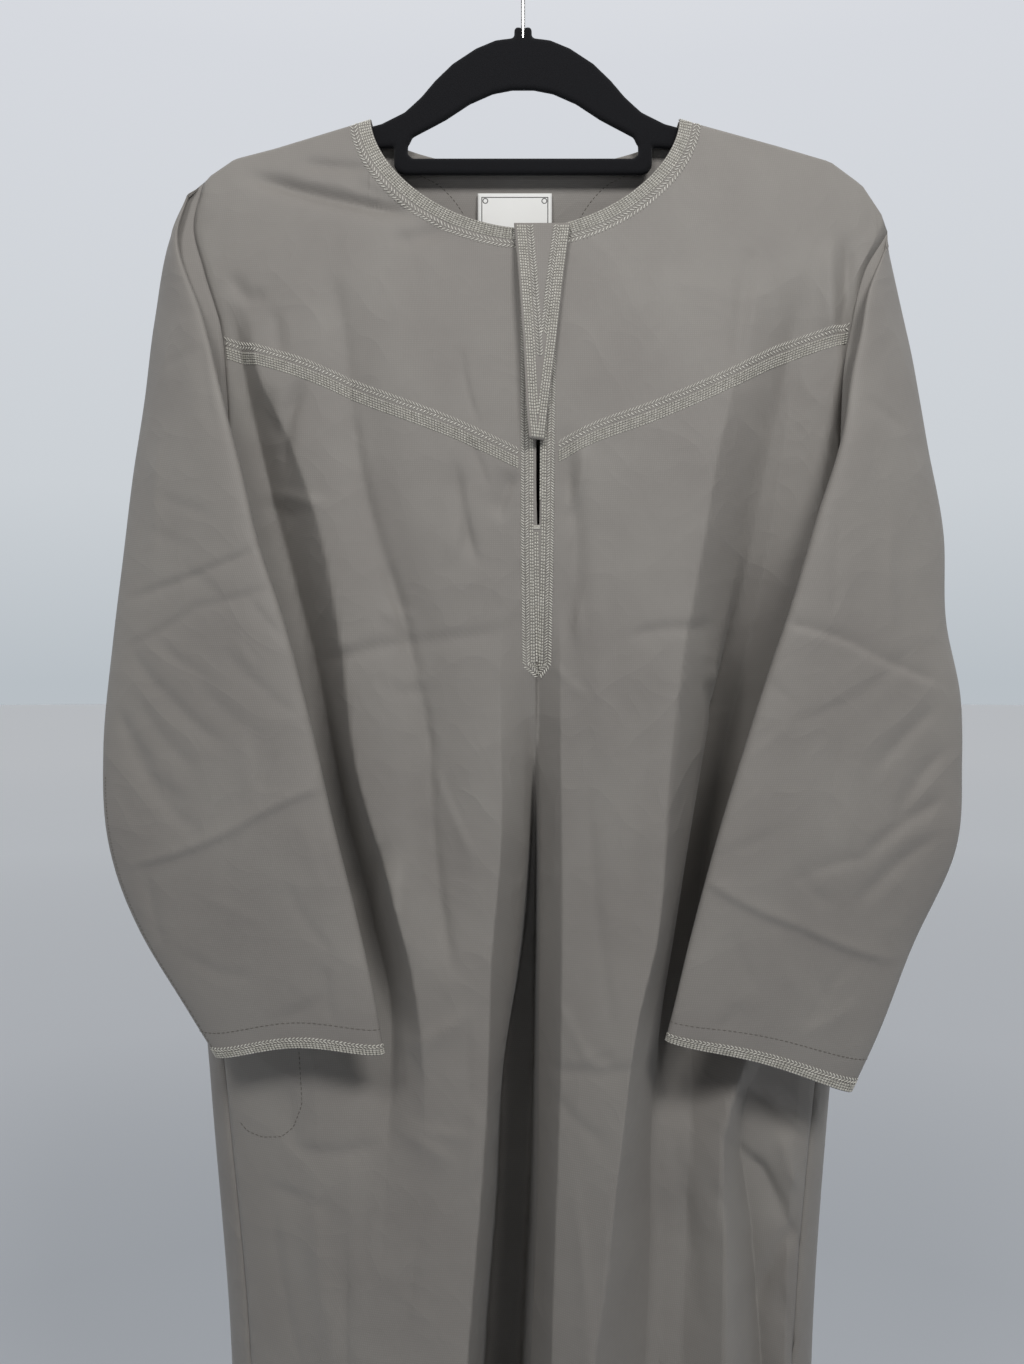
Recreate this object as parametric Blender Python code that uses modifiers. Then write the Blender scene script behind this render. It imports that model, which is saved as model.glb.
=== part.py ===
"""Thobe robe with embroidered bands, hanging on a flocked clothes hanger.

Frame: +Z up, the front faces -Y, +X is to the right of someone who faces the front.
The origin is where a rail bears inside the top of the hook. Sizes below are millimetres;
a "drop" is a distance down from the origin.
"""
import math

import bmesh
import bpy
import numpy as np
from mathutils import Matrix, Vector

MM = 0.001

# ------------------------------------------------------------------ driving sizes
GARMENT_HEM_DROP = 1573.0       # hem, 1.42 m below the neck points
CLOTH_WALL = 1.6
SEAM_GAP = 0.3
ARMHOLE_GAP = 0.8
UNDERARM_GAP = 3.2
SLEEVE_CLEARANCE = 4.5
SHOULDER_ROLL = 5.2             # half thickness of the cloth folded over the hanger arm
SHOULDER_FALL = 60.0            # drop over which the cloth reaches its full depth
SHOULDER_TIP_DROPS = {-1: 197.0, 1: 235.0}      # the garment hangs a little to its right
FOLD_FADE_SHARE = 0.16          # share of the half width over which folds end at the sides
SIDE_RADIUS = 60.0              # of the body's rounded sides

NECK_MIDDLE = 1.5
NECK_HALF_WIDTH = 112.8
NECK_POINT_DROP = 153.0
NECK_FRONT_DEPTH = 89.7
NECK_BACK_DEPTH = 32.0
NECK_SQUARENESS = 1.8

SLIT_MIDDLE = 10.0
SLIT_WIDTH = 2.4
ARMHOLE_DEPTH_SHARE = 0.2093    # share of the length from shoulder tip to hem

BAND_WIDTH = 16.5
BAND_EDGE_INSET = 0.4           # from the neck edge to the band's
BAND_LIFT = 0.8                 # clear gap under an embroidered band
BAND_THICKNESS = 1.2
BAND_LINES = 4
BACK_BAND_EXTRA = 0.6           # the back band stands further off the roll of the shoulder
FLAP_LIFT = 3.2
FLAP_THICKNESS = 1.8
CUFF_BAND_WIDTH = 8.0
FLAP_ROWS = 9
PLACKET_SLIT_ROWS = 10
PLACKET_SLIT_END = 458.0        # foot of the neck slit in the placket
PLACKET_POINT_START = 554.0     # drop at which the placket narrows to its point
PLACKET_POINT_ROWS = 5

BODY_SQUARENESS = 2.5
BODY_COLUMNS = ("drop", "middle", "half_width", "front_depth", "back_depth")
BODY = (
    (150, 10, 276, 24, 12),
    (235, 11, 272, 30, 18),
    (320, 8, 258, 38, 26),
    (420, 4, 246, 45, 34),
    (500, 2, 243, 49, 42),
    (600, 0, 240, 54, 50),
    (750, -1, 235, 60, 60),
    (860, -2, 225, 66, 70),
    (1065, -1, 210, 76, 84),
    (1300, 0, 214, 84, 98),
    (1573, 0, 224, 92, 108),
)

RIDGE_COLUMNS = ("across", "drop")
RIDGE = (
    (-290, 262), (-254, 225), (-230, 195), (-211, 182), (-182, 174.5), (-112, 153.2),
    (114, 152.6), (186, 172.5), (225, 184), (248, 201), (266, 228), (290, 262),
)

EDGE_COLUMNS = ("drop", "left_front", "left_back", "right_front", "right_back")
ARMHOLE_EDGES = (
    (195, -232, -232, 270, 270),
    (235, -240, -240, 266.5, 266.5),
    (268, -231, -234, 247.5, 255),
    (316, -216, -226, 234, 243),
    (380, -213, -224, 226, 236),
    (440, -220, -228, 228, 236),
    (485, -241, -241, 236, 240),
    (515, -241, -241, 244.6, 244.6),
)

SIDE_SEAM_COLUMNS = ("drop", "turn")    # degrees that the back wraps round to the front
SIDE_SEAM = ((485, 2), (560, 8), (700, 20), (900, 27), (1573, 27))

FOLD_COLUMNS = ("drop", "across", "rise", "half_width")
FRONT_FOLDS = {
    "centre_valley": (3.0, (
        (590, 1, 0, 10), (664, 0, -8, 10), (716, -1, -26, 11), (823, -4, -42, 13),
        (1030, -10, -50, 16), (1573, -18, -58, 20))),
    "right_ridge": (1.4, (
        (320, 166, 0, 34), (384, 141, 5, 36), (479, 127, 8, 38), (574, 111, 10, 40),
        (693, 97, 13, 42), (823, 73, 16, 44), (1022, 51, 18, 44), (1573, 36, 20, 46))),
    "left_soft_valley": (2.0, (
        (280, -131, 0, 18), (320, -124, -3, 18), (468, -99, -5, 20), (537, -78, -5, 20),
        (694, -57, -5, 18), (770, -50, 0, 18))),
    "left_sleeve_valley": (2.0, (
        (330, -190, 0, 22), (480, -172, -6, 24), (620, -138, -9, 24), (730, -100, -12, 20),
        (840, -96, -6, 24), (960, -100, 0, 30))),
    "right_sleeve_valley": (2.0, (
        (420, 190, 0, 22), (560, 158, -8, 24), (700, 132, -16, 22), (800, 112, -14, 26),
        (1000, 104, -8, 30), (1573, 110, -16, 30))),
    "left_pipe": (2.0, (
        (700, -60, 0, 50), (900, -72, 5, 56), (1573, -88, 14, 52))),
    "left_hem_valley": (2.2, (
        (1050, -150, 0, 18), (1300, -148, -10, 20), (1573, -146, -22, 22))),
}
BACK_FOLDS = {
    "left_valley": (2.0, (
        (330, -70, 0, 24), (700, -96, -10, 26), (1100, -112, -22, 26), (1573, -124, -34, 26))),
    "middle_valley": (2.2, (
        (420, 14, 0, 20), (800, 18, -14, 24), (1200, 10, -28, 24), (1573, 4, -38, 25))),
    "right_valley": (2.0, (
        (360, 90, 0, 24), (760, 104, -12, 26), (1150, 120, -22, 26), (1573, 132, -32, 27))),
}

SLEEVE_COLUMNS = ("seam_drop", "fold_across", "fold_drop", "fold_depth",
                  "outer_across", "outer_drop", "outer_depth", "belly", "tuck")
LEFT_SLEEVE = (
    (211, -243, 213, 9, -246, 214, 0, 3, 2),
    (240, -249, 244, 14, -259, 243, 0, 6, 8),
    (290, -226, 308, 32, -270, 300, 0, 10, 14),
    (350, -207, 370, 50, -276, 360, 4, 13, 16),
    (420, -191, 424, 60, -282, 420, 12, 15, 14),
    (485, -177, 477, 66, -286, 478, 20, 16, 8),
    (540, -160, 526, 71, -290, 536, 28, 17, 4),
    (610, -142, 592, 75, -294, 613, 36, 17, 4),
    (680, -126, 660, 78, -287, 679, 44, 17, 4),
    (745, -110, 724, 80, -263, 736, 52, 15, 4),
    (797, -97, 781, 82, -228, 788, 60, 12, 4),
    (822, -92, 810, 82, -208, 819, 62, 11, 4),
)
RIGHT_SLEEVE = (
    (248, 263, 251, 9, 269, 252, 0, 2, 2),
    (288, 244, 291, 27, 279, 298, 0, 6, 5),
    (318, 237, 320, 33, 285, 326, 0, 9, 8),
    (350, 228, 352, 41, 289, 358, 4, 11, 10),
    (382, 220, 390, 50, 293, 392, 8, 13, 12),
    (452, 198, 456, 60, 301, 460, 18, 15, 13),
    (515, 178, 518, 67, 299, 525, 28, 16, 11),
    (560, 165, 555, 69, 306, 573, 34, 17, 4),
    (612, 148, 606, 72, 305, 624, 40, 17, 4),
    (680, 128, 669, 76, 297, 682, 48, 17, 4),
    (748, 110, 735, 78, 264, 747, 56, 15, 4),
    (806, 98, 783, 80, 236, 809, 64, 12, 4),
    (832, 93, 802, 80, 220, 841, 66, 11, 4),
)

YOKE_COLUMNS = ("across", "drop")
YOKE_PLACES = 15
YOKE_END_GAP = 1.0
YOKE_LEFT = ((-216, 317), (-164, 333), (-98, 361), (-43, 383), (-3.6, 402))
YOKE_RIGHT = ((24.1, 397), (43, 387), (91, 369), (139, 348), (188, 322), (233, 307))

PLACKET_COLUMNS = ("drop", "left", "right")
PLACKET = ((259, -3, 23.5), (340, -3, 23.5), (406, -3, 22.4), (470, -3, 21.6),
           (554, -2, 20.0), (568.5, 9.9, 10.7))
FLAP = ((241.5, -6.7, 33.2), (279, -3.9, 28.3), (330, -0.4, 22.6), (374, 1.6, 17.0),
        (399, 3.7, 14.2))

POCKETS = {     # bags that hang inside the side seams: drops and how far they reach inwards
    "pocket_bag_left": {"side": -1, "top": 668.0, "bottom": 880.0, "reach": 58.0},
    "pocket_bag_right": {"side": 1, "top": 800.0, "bottom": 1010.0, "reach": 62.0},
}
POCKET_ROWS = 8
POCKET_COLUMNS = 4
POCKET_ROUNDING = 0.55
POCKET_SEAM_ALLOWANCE = 12.0
POCKET_GAP = 1.2
POCKET_THICKNESS = 1.2

LABEL_MIDDLE = -6.0
LABEL_WIDTH = 55.0
LABEL_TOP_DROP = 203.0
LABEL_HEIGHT = 38.0
LABEL_THICKNESS = 1.0
LABEL_GAP = 1.0

HANGER_THICKNESS = 5.6
HANGER_EDGE = 1.6
HANGER_COLUMNS = ("across", "drop")
HANGER_TOP = ((20, 94.5), (34.5, 100.5), (52, 112), (65, 124.7), (75, 136.5), (87, 147.5),
              (104, 156.0), (133, 163.8), (186, 178), (208, 185))
HANGER_TIP = ((217, 192), (218, 199), (212, 203))
HANGER_UNDER = ((186, 196), (133, 180), (112, 174.5), (84, 172.0))
HANGER_ARCH = ((81, 165.5), (72, 160.7), (56.6, 152.6), (39, 141), (22, 133.5), (8, 130.8))
HANGER_BAR = ((81, 181.3), (84.5, 178), (84.5, 162), (94.8, 162), (94.8, 187), (92, 191.5),
              (87, 193.2))
COLLAR_HALF_WIDTH = 6.5
COLLAR_TOP_DROP = 85.0
COLLAR_SHOULDER_DROP = 92.8

HOOK_WIRE = 3.2
HOOK_RADIUS = 21.6              # to the middle of the wire
HOOK_BORE = 4.0
HOOK_BORE_DEPTH = 9.0
HOOK_FOOT_GAP = 0.6             # under the wire's foot
HOOK_FOOT_TOP_DROP = 78.0
HOOK_NECK = ((0.0, 64.0), (0.3, 56.0), (3.2, 48.5), (8.4, 41.6))
HOOK_START_ANGLE = -44.0
HOOK_END_ANGLE = 205.0
HOOK_PLACES = 22
BORE_CUTTER_EXTRA = 3.0         # the cutter stands out above the collar

CLOTH_COLOUR = (0.26, 0.245, 0.225, 1.0)
BAND_COLOUR = (0.33, 0.32, 0.29, 1.0)
LABEL_COLOUR = (0.75, 0.74, 0.72, 1.0)
FLOCK_COLOUR = (0.012, 0.012, 0.014, 1.0)
STEEL_COLOUR = (0.6, 0.6, 0.62, 1.0)


# ------------------------------------------------------------------ reading the tables
def column(table, columns, wanted, at):
    """One named column, read smoothly between the rows at the places given."""
    rows = np.array(table, dtype=float)
    knots = rows[:, 0]
    values = rows[:, columns.index(wanted)]
    slopes = np.gradient(values, knots)
    at = np.clip(np.asarray(at, dtype=float), knots[0], knots[-1])
    place = np.clip(np.searchsorted(knots, at, side="right") - 1, 0, len(knots) - 2)
    span = knots[place + 1] - knots[place]
    t = (at - knots[place]) / span
    start = values[place] * (1 + 2 * t) * (1 - t) ** 2 + slopes[place] * span * t * (1 - t) ** 2
    end = values[place + 1] * t * t * (3 - 2 * t) - slopes[place + 1] * span * t * t * (1 - t)
    return start + end


def ease(t):
    t = np.clip(t, 0.0, 1.0)
    return t * t * (3.0 - 2.0 * t)


def unit(vectors):
    return vectors / np.maximum(np.linalg.norm(vectors, axis=-1, keepdims=True), 1e-9)


# ------------------------------------------------------------------ the form of the body
def fold_rise(folds, across, drop):
    """Sum of the folds: positive stands out of the cloth, negative is a valley."""
    total = np.zeros(np.broadcast(across, drop).shape)
    for sharpness, rows in folds.values():
        middle = column(rows, FOLD_COLUMNS, "across", drop)
        rise = column(rows, FOLD_COLUMNS, "rise", drop)
        half = column(rows, FOLD_COLUMNS, "half_width", drop)
        outside = (drop < rows[0][0]) | (drop > rows[-1][0])
        rise = np.where(outside, 0.0, rise)
        total = total + rise * np.exp(-np.abs((across - middle) / half) ** sharpness)
    return total


def ridge_drop(across):
    rows = np.array(RIDGE, dtype=float)
    return np.interp(across, rows[:, 0], rows[:, 1])


def body_depth(across, drop, depth_column):
    """Depth of one side of the body, from the hanger's plane, before its folds."""
    middle = column(BODY, BODY_COLUMNS, "middle", drop)
    half = column(BODY, BODY_COLUMNS, "half_width", drop)
    deep = column(BODY, BODY_COLUMNS, depth_column, drop)
    share = np.clip(np.abs((across - middle) / half), 0.0, 1.0)
    full = deep * (1.0 - share ** BODY_SQUARENESS) ** (1.0 / BODY_SQUARENESS)
    below = np.maximum(drop - ridge_drop(across), 0.0)
    rolled = 1.0 - np.minimum(below / SHOULDER_ROLL, 1.0)
    roll = SHOULDER_ROLL * np.sqrt(1.0 - rolled ** 2)
    fallen = 1.0 - np.exp(-below / SHOULDER_FALL)
    edge_fade = ease((1.0 - share) / FOLD_FADE_SHARE)
    return roll + (full - SHOULDER_ROLL) * fallen, edge_fade


def front_y(across, drop):
    depth, edge_fade = body_depth(across, drop, "front_depth")
    return -(depth + edge_fade * fold_rise(FRONT_FOLDS, across, drop))


def back_y(across, drop):
    depth, edge_fade = body_depth(across, drop, "back_depth")
    return depth + edge_fade * fold_rise(BACK_FOLDS, across, drop)


def on_front(across, drop, lift):
    """Points of the front cloth, moved out along its normal by lift."""
    step = 0.4
    y = front_y(across, drop)
    slope_x = (front_y(across + step, drop) - front_y(across - step, drop)) / (2 * step)
    slope_drop = (front_y(across, drop + step) - y) / step
    normal = unit(np.stack([slope_x, -np.ones_like(y), -slope_drop], axis=-1))
    points = np.stack([across, y, -drop], axis=-1) + normal * lift
    points[..., 1] = np.minimum(points[..., 1], -SEAM_GAP / 2)
    return points


def round_body(turn, drop):
    """Point of the body's outline: turn 0 is the left side, 90 the back, 180 the right side."""
    angle = np.radians(turn)
    middle = column(BODY, BODY_COLUMNS, "middle", drop)
    half = column(BODY, BODY_COLUMNS, "half_width", drop)
    across = middle - half * np.sign(np.cos(angle)) * np.abs(np.cos(angle)) ** (2 / BODY_SQUARENESS)
    y = np.where(np.sin(angle) < 0, front_y(across, drop), back_y(across, drop))
    return np.stack([across, y, -drop * np.ones_like(y)], axis=-1)


def on_back(turn, drop, lift):
    points = round_body(turn, drop)
    along = round_body(turn + 0.4, drop) - round_body(turn - 0.4, drop)
    down = round_body(turn, drop + 0.4) - points
    moved = points + unit(np.cross(along, down)) * lift
    at_back = np.sin(np.radians(turn)) > 0.05
    moved[..., 1] = np.where(at_back, np.maximum(moved[..., 1], SEAM_GAP / 2), moved[..., 1])
    return moved


def turn_at(across, drop):
    """Turn of the back cloth at a place across the body."""
    middle = column(BODY, BODY_COLUMNS, "middle", drop)
    half = column(BODY, BODY_COLUMNS, "half_width", drop)
    share = np.clip((middle - across) / half, -1.0, 1.0)
    cosine = np.sign(share) * np.abs(share) ** (BODY_SQUARENESS / 2)
    return np.degrees(np.arccos(cosine))


def on_back_across(across, drop, lift):
    return on_back(turn_at(across, drop), drop, lift + BACK_BAND_EXTRA)


def side_name(side):
    return "left" if side < 0 else "right"


def underarm_drop(side):
    tip = SHOULDER_TIP_DROPS[side]
    return tip + (GARMENT_HEM_DROP - tip) * ARMHOLE_DEPTH_SHARE


def front_edge(side, drop):
    """Where the front panel ends: the armhole, then the side seam."""
    armhole = column(ARMHOLE_EDGES, EDGE_COLUMNS, side_name(side) + "_front", drop)
    middle = column(BODY, BODY_COLUMNS, "middle", drop)
    half = column(BODY, BODY_COLUMNS, "half_width", drop)
    turn = np.radians(column(SIDE_SEAM, SIDE_SEAM_COLUMNS, "turn", drop))
    seam = middle + side * half * np.cos(turn) ** (2 / BODY_SQUARENESS)
    return np.where(drop < underarm_drop(side), armhole, seam)


def back_edge_turn(side, drop):
    """Turn at which the back panel ends on one side."""
    armhole = column(ARMHOLE_EDGES, EDGE_COLUMNS, side_name(side) + "_back", drop)
    above = turn_at(armhole, drop)
    wrap = column(SIDE_SEAM, SIDE_SEAM_COLUMNS, "turn", drop)
    gap = np.degrees(SEAM_GAP / SIDE_RADIUS)
    below = (-wrap + gap) if side < 0 else (180 + wrap - gap)
    return np.where(drop < underarm_drop(side), above, below)


# ------------------------------------------------------------------ meshes
def material(name, colour, roughness, metallic=0.0):
    made = bpy.data.materials.new(name)
    made.use_nodes = True
    shader = made.node_tree.nodes["Principled BSDF"]
    shader.inputs["Base Color"].default_value = colour
    shader.inputs["Roughness"].default_value = roughness
    shader.inputs["Metallic"].default_value = metallic
    return made


def place(name, mesh, finish):
    mesh.materials.append(finish)
    mesh.shade_smooth()
    thing = bpy.data.objects.new(name, mesh)
    PARTS.objects.link(thing)


def halves(cell, points):
    """A four-sided cell as two triangles, parted along its shorter diagonal."""
    a, b, c, d = cell
    if np.linalg.norm(points[a] - points[c]) <= np.linalg.norm(points[b] - points[d]):
        return [(a, b, c), (a, c, d)]
    return [(a, b, d), (b, c, d)]


def wall(name, outer, inner, finish, joined_from=None, skipped=(), ring=False):
    """A cloth wall between two grids of points, rims closed.

    joined_from is the row from which the first and last columns are one line; skipped
    cells are left open; ring joins the last column to the first all the way. Both sides
    of the wall are parted into the same triangles, so that it never crosses itself.
    """
    rows, columns, _ = outer.shape
    index = np.arange(rows * columns).reshape(rows, columns)
    if joined_from is not None:
        index[joined_from:, -1] = index[joined_from:, 0]
    count = rows * columns
    points = np.concatenate([outer.reshape(-1, 3), inner.reshape(-1, 3)]) * MM
    faces = []
    for r in range(rows - 1):
        for c in range(columns if ring else columns - 1):
            if (r, c) not in skipped:
                after = (c + 1) % columns
                cell = (index[r, c], index[r, after], index[r + 1, after], index[r + 1, c])
                faces += [tuple(int(v) for v in half) for half in halves(cell, points)]
    directed = {(a, b) for face in faces for a, b in zip(face, face[1:] + face[:1])}
    faces += [tuple(v + count for v in reversed(face)) for face in faces]
    for a, b in sorted(directed):
        if (b, a) not in directed:
            faces.append((b, a, a + count, b + count))
    mesh = bpy.data.meshes.new(name)
    mesh.from_pydata([tuple(p) for p in points], [], faces)
    work = bmesh.new()
    work.from_mesh(mesh)
    bmesh.ops.delete(work, geom=[v for v in work.verts if not v.link_faces], context="VERTS")
    bmesh.ops.recalc_face_normals(work, faces=work.faces)
    work.to_mesh(mesh)
    work.free()
    place(name, mesh, finish)


def in_lengths(name, lengths, outer, inner, finish, joined_from=None, skipped=()):
    """A tall wall as several lengths, end to end, so that each has a short and thin form."""
    for length, first, final in lengths:
        grids = []
        for grid in (outer, inner):
            part = grid[first:final + 1].copy()
            if first > 0:
                along = unit(np.gradient(part[0], axis=0))
                down = part[1] - part[0]
                down -= along * np.sum(down * along, axis=-1, keepdims=True)
                part[0] += unit(down) * LENGTH_GAP
            grids.append(part)
        joined = None if joined_from is None else max(joined_from - first, 0)
        wall(f"{name}_{length}", grids[0], grids[1], finish, joined_from=joined,
             skipped={(row - first, column) for row, column in skipped})


# ------------------------------------------------------------------ front and back panels
LENGTH_GAP = 0.5
PANEL_LENGTHS = (("chest", 0, 13), ("waist", 13, 18), ("hip", 18, 23), ("skirt", 23, 27))
LENGTH_SHARES = (0, 0.001, 0.0037, 0.010, 0.022, 0.040, 0.062, 0.086, 0.110, 0.135, 0.1619,
                 0.186, ARMHOLE_DEPTH_SHARE, 0.238, 0.27, 0.305, 0.34, 0.38, 0.42, 0.465, 0.51,
                 0.56, 0.62, 0.69, 0.77, 0.85, 0.93, 1.0)
ROLL_ROW = 2                    # row at which the cloth leaves the roll over the hanger
SLIT_END_ROW = 10
UNDERARM_ROW = 12
BLEND_SHARE = 0.16              # share of the length in which the columns spread out
FRONT_SHOULDER_LEFT = 8         # columns of the front across each shoulder and half neck
FRONT_NECK_LEFT = 13
FRONT_NECK_RIGHT = 10
FRONT_SHOULDER_RIGHT = 9
FRONT_LOW_LEFT = -115.0         # where the neck's outer columns settle lower down
FRONT_LOW_RIGHT = 118.0
BACK_SHOULDER_LEFT = 7
BACK_NECK = 10
BACK_SHOULDER_RIGHT = 8


def neck_drop(across, depth):
    share = np.clip(np.abs((across - NECK_MIDDLE) / NECK_HALF_WIDTH), 0.0, 1.0)
    return NECK_POINT_DROP + depth * (1.0 - share ** NECK_SQUARENESS) ** (1.0 / NECK_SQUARENESS)


def crowded(start, end, count, power):
    """count places from start up to, but not at, end; a power over 1 crowds the end."""
    share = np.arange(count) / count
    return end + (start - end) * (1.0 - share) ** power


def front_columns():
    """Places across for each column of the front: at its top edge, and lower down."""
    neck_left = NECK_MIDDLE - NECK_HALF_WIDTH
    neck_right = NECK_MIDDLE + NECK_HALF_WIDTH
    slit_left = SLIT_MIDDLE - SLIT_WIDTH / 2
    slit_right = SLIT_MIDDLE + SLIT_WIDTH / 2
    tips = [float(front_edge(side, SHOULDER_TIP_DROPS[side])) for side in (-1, 1)]
    quarter_left = np.linspace(0, np.pi / 2, FRONT_NECK_LEFT + 1)
    quarter_right = np.linspace(0, np.pi / 2, FRONT_NECK_RIGHT + 1)
    shares_left = np.arange(FRONT_SHOULDER_LEFT) / FRONT_SHOULDER_LEFT
    shares_right = np.arange(1, FRONT_SHOULDER_RIGHT + 1) / FRONT_SHOULDER_RIGHT
    top = np.concatenate([
        tips[0] + (neck_left - tips[0]) * shares_left,
        neck_left + (slit_left - neck_left) * (1 - np.cos(quarter_left[:-1])),
        [slit_left, slit_right],
        slit_right + (neck_right - slit_right) * np.sin(quarter_right[1:]),
        neck_right + (tips[1] - neck_right) * shares_right])
    shares = np.arange(1, FRONT_NECK_RIGHT + 1) / FRONT_NECK_RIGHT
    low = np.concatenate([
        np.zeros(FRONT_SHOULDER_LEFT), crowded(FRONT_LOW_LEFT, slit_left, FRONT_NECK_LEFT, 1.6),
        [slit_left, slit_right], slit_right + (FRONT_LOW_RIGHT - slit_right) * shares ** 1.3,
        np.zeros(FRONT_SHOULDER_RIGHT)])
    return top, low


def build_front(cloth):
    top, low = front_columns()
    number = np.arange(len(top))
    last = len(top) - 1
    neck = (number >= FRONT_SHOULDER_LEFT) & (number <= last - FRONT_SHOULDER_RIGHT)
    top_drop = np.where(neck, neck_drop(top, NECK_FRONT_DEPTH), ridge_drop(top))
    top_drop[0] = SHOULDER_TIP_DROPS[-1]
    top_drop[-1] = SHOULDER_TIP_DROPS[1]
    outer = np.zeros((len(LENGTH_SHARES), len(top), 3))
    inner = np.zeros_like(outer)

    def low_place(drop):
        left = front_edge(-1, drop)
        right = front_edge(1, drop)
        share_left = np.clip(number / FRONT_SHOULDER_LEFT, 0, 1)
        share_right = np.clip((last - number) / FRONT_SHOULDER_RIGHT, 0, 1)
        sides = np.where(number < FRONT_SHOULDER_LEFT,
                         left + (FRONT_LOW_LEFT - left) * share_left,
                         right + (FRONT_LOW_RIGHT - right) * share_right)
        return np.where(neck, low, sides)

    for row, share in enumerate(LENGTH_SHARES):
        drop = top_drop + (GARMENT_HEM_DROP - top_drop) * share
        across = low_place(drop) + (top - low_place(top_drop)) * (1 - ease(share / BLEND_SHARE))
        outer[row] = on_front(across, drop, 0.0)
        inner[row] = on_front(across, drop, -CLOTH_WALL)
    slit_column = int(np.searchsorted(top, SLIT_MIDDLE)) - 1
    slit = {(row, slit_column) for row in range(SLIT_END_ROW)}
    in_lengths("front_panel", PANEL_LENGTHS, outer, inner, cloth, skipped=slit)
    return outer, inner


def build_back(cloth):
    neck_left = NECK_MIDDLE - NECK_HALF_WIDTH
    neck_right = NECK_MIDDLE + NECK_HALF_WIDTH
    tips = [float(front_edge(side, SHOULDER_TIP_DROPS[side])) for side in (-1, 1)]
    top = np.concatenate([
        np.linspace(tips[0], neck_left, BACK_SHOULDER_LEFT + 1)[:-1],
        NECK_MIDDLE - NECK_HALF_WIDTH * np.cos(np.linspace(0, np.pi, BACK_NECK + 1)),
        np.linspace(neck_right, tips[1], BACK_SHOULDER_RIGHT + 1)[1:]])
    number = np.arange(len(top))
    neck = (number >= BACK_SHOULDER_LEFT) & (number <= BACK_SHOULDER_LEFT + BACK_NECK)
    top_drop = np.where(neck, neck_drop(top, NECK_BACK_DEPTH), ridge_drop(top))
    top_drop[0] = SHOULDER_TIP_DROPS[-1]
    top_drop[-1] = SHOULDER_TIP_DROPS[1]
    top_turn = turn_at(top, top_drop)
    outer = np.zeros((len(LENGTH_SHARES), len(top), 3))
    inner = np.zeros_like(outer)

    def low_turn(drop):
        left = back_edge_turn(-1, drop)
        right = back_edge_turn(1, drop)
        return left + (right - left) * number / (len(top) - 1)

    for row, share in enumerate(LENGTH_SHARES):
        drop = top_drop + (GARMENT_HEM_DROP - top_drop) * share
        turn = low_turn(drop) + (top_turn - low_turn(top_drop)) * (1 - ease(share / BLEND_SHARE))
        outer[row] = on_back(turn, drop, 0.0)
        inner[row] = on_back(turn, drop, -CLOTH_WALL)
    in_lengths("back_panel", PANEL_LENGTHS, outer, inner, cloth)
    return outer, inner


# ------------------------------------------------------------------ sleeves
FACE_STEPS = 8                  # steps across each face of a sleeve
TUCK_STEPS = 5                  # steps from the armhole seam to the front fold
FRONT_FACE_FLATNESS = 0.8
BACK_FACE_FLATNESS = 1.8
BACK_FACE_SHARE = 0.55          # how far the back face stands out, as a share of the front's
TUCK_LEAN = 4.0                 # how far the tucked cloth stands behind the front fold
SLEEVE_ROWS_BELOW = 12
SLEEVE_LENGTHS = (("head", 0, 13), ("arm", 13, 18), ("end", 18, 22))
SEAM_SETTLE = 58.0              # length over which the sleeve's seam leaves the underarm
SEAM_FORWARD = 56.0             # how far it swings forward round the body on the way
SEAM_IN = 14.0                  # where it settles, inside the front fold
SEAM_BEHIND = 9.0


def clear_of_body(points, seam_drop, side):
    """Cloth at and below the underarm, kept in front of the body's front."""
    if seam_drop < underarm_drop(side) - 1.0:
        return points
    drop = -points[:, 2]
    middle = column(BODY, BODY_COLUMNS, "middle", drop)
    half = column(BODY, BODY_COLUMNS, "half_width", drop)
    over_body = np.abs(points[:, 0] - middle) < half + 2.0
    at_seam = np.zeros(len(points), dtype=bool)
    if seam_drop < underarm_drop(side) + 1.0:
        at_seam[[0, -1]] = True
    limit = front_y(points[:, 0], drop) - SLEEVE_CLEARANCE
    points[:, 1] = np.where(over_body & ~at_seam, np.minimum(points[:, 1], limit), points[:, 1])
    return points


def fold_path(start, end, outward, tuck):
    """Cloth from the armhole seam, out under the sleeve's face and back to its front fold."""
    first = start + np.array([outward * tuck * 1.5, -0.5, 0.0])
    last = end + np.array([outward * (tuck * 1.2 + 2.0), TUCK_LEAN, 0.0])
    shares = np.linspace(0, 1, TUCK_STEPS + 1)[:, None]
    rest = 1 - shares
    return (rest ** 3 * start + 3 * rest ** 2 * shares * first
            + 3 * rest * shares ** 2 * last + shares ** 3 * end)


def face_path(start, end, belly, flatness):
    """One face of a flattened sleeve; a low flatness rounds it fully into its edges."""
    angle = np.linspace(0, np.pi, FACE_STEPS + 1)
    share = ((1 - np.cos(angle)) / 2)[:, None]
    points = start + (end - start) * share
    points[:, 1] += belly * np.sin(angle) ** flatness
    return points


def sleeve_section(table, side, seam_drop, front_seam, back_seam):
    """One closed or open section of a sleeve, from the front seam round to the back seam."""
    def value(name):
        return float(column(table, SLEEVE_COLUMNS, name, seam_drop))
    fold = np.array([value("fold_across"), -value("fold_depth"), -value("fold_drop")])
    outer = np.array([value("outer_across"), -value("outer_depth"), -value("outer_drop")])
    belly = value("belly")
    tuck = fold_path(front_seam, fold, side, value("tuck"))
    front = face_path(fold, outer, -belly, FRONT_FACE_FLATNESS)
    back = face_path(outer, back_seam, belly * BACK_FACE_SHARE, BACK_FACE_FLATNESS)
    return clear_of_body(np.concatenate([tuck[:-1], front[:-1], back]), seam_drop, side)


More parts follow.
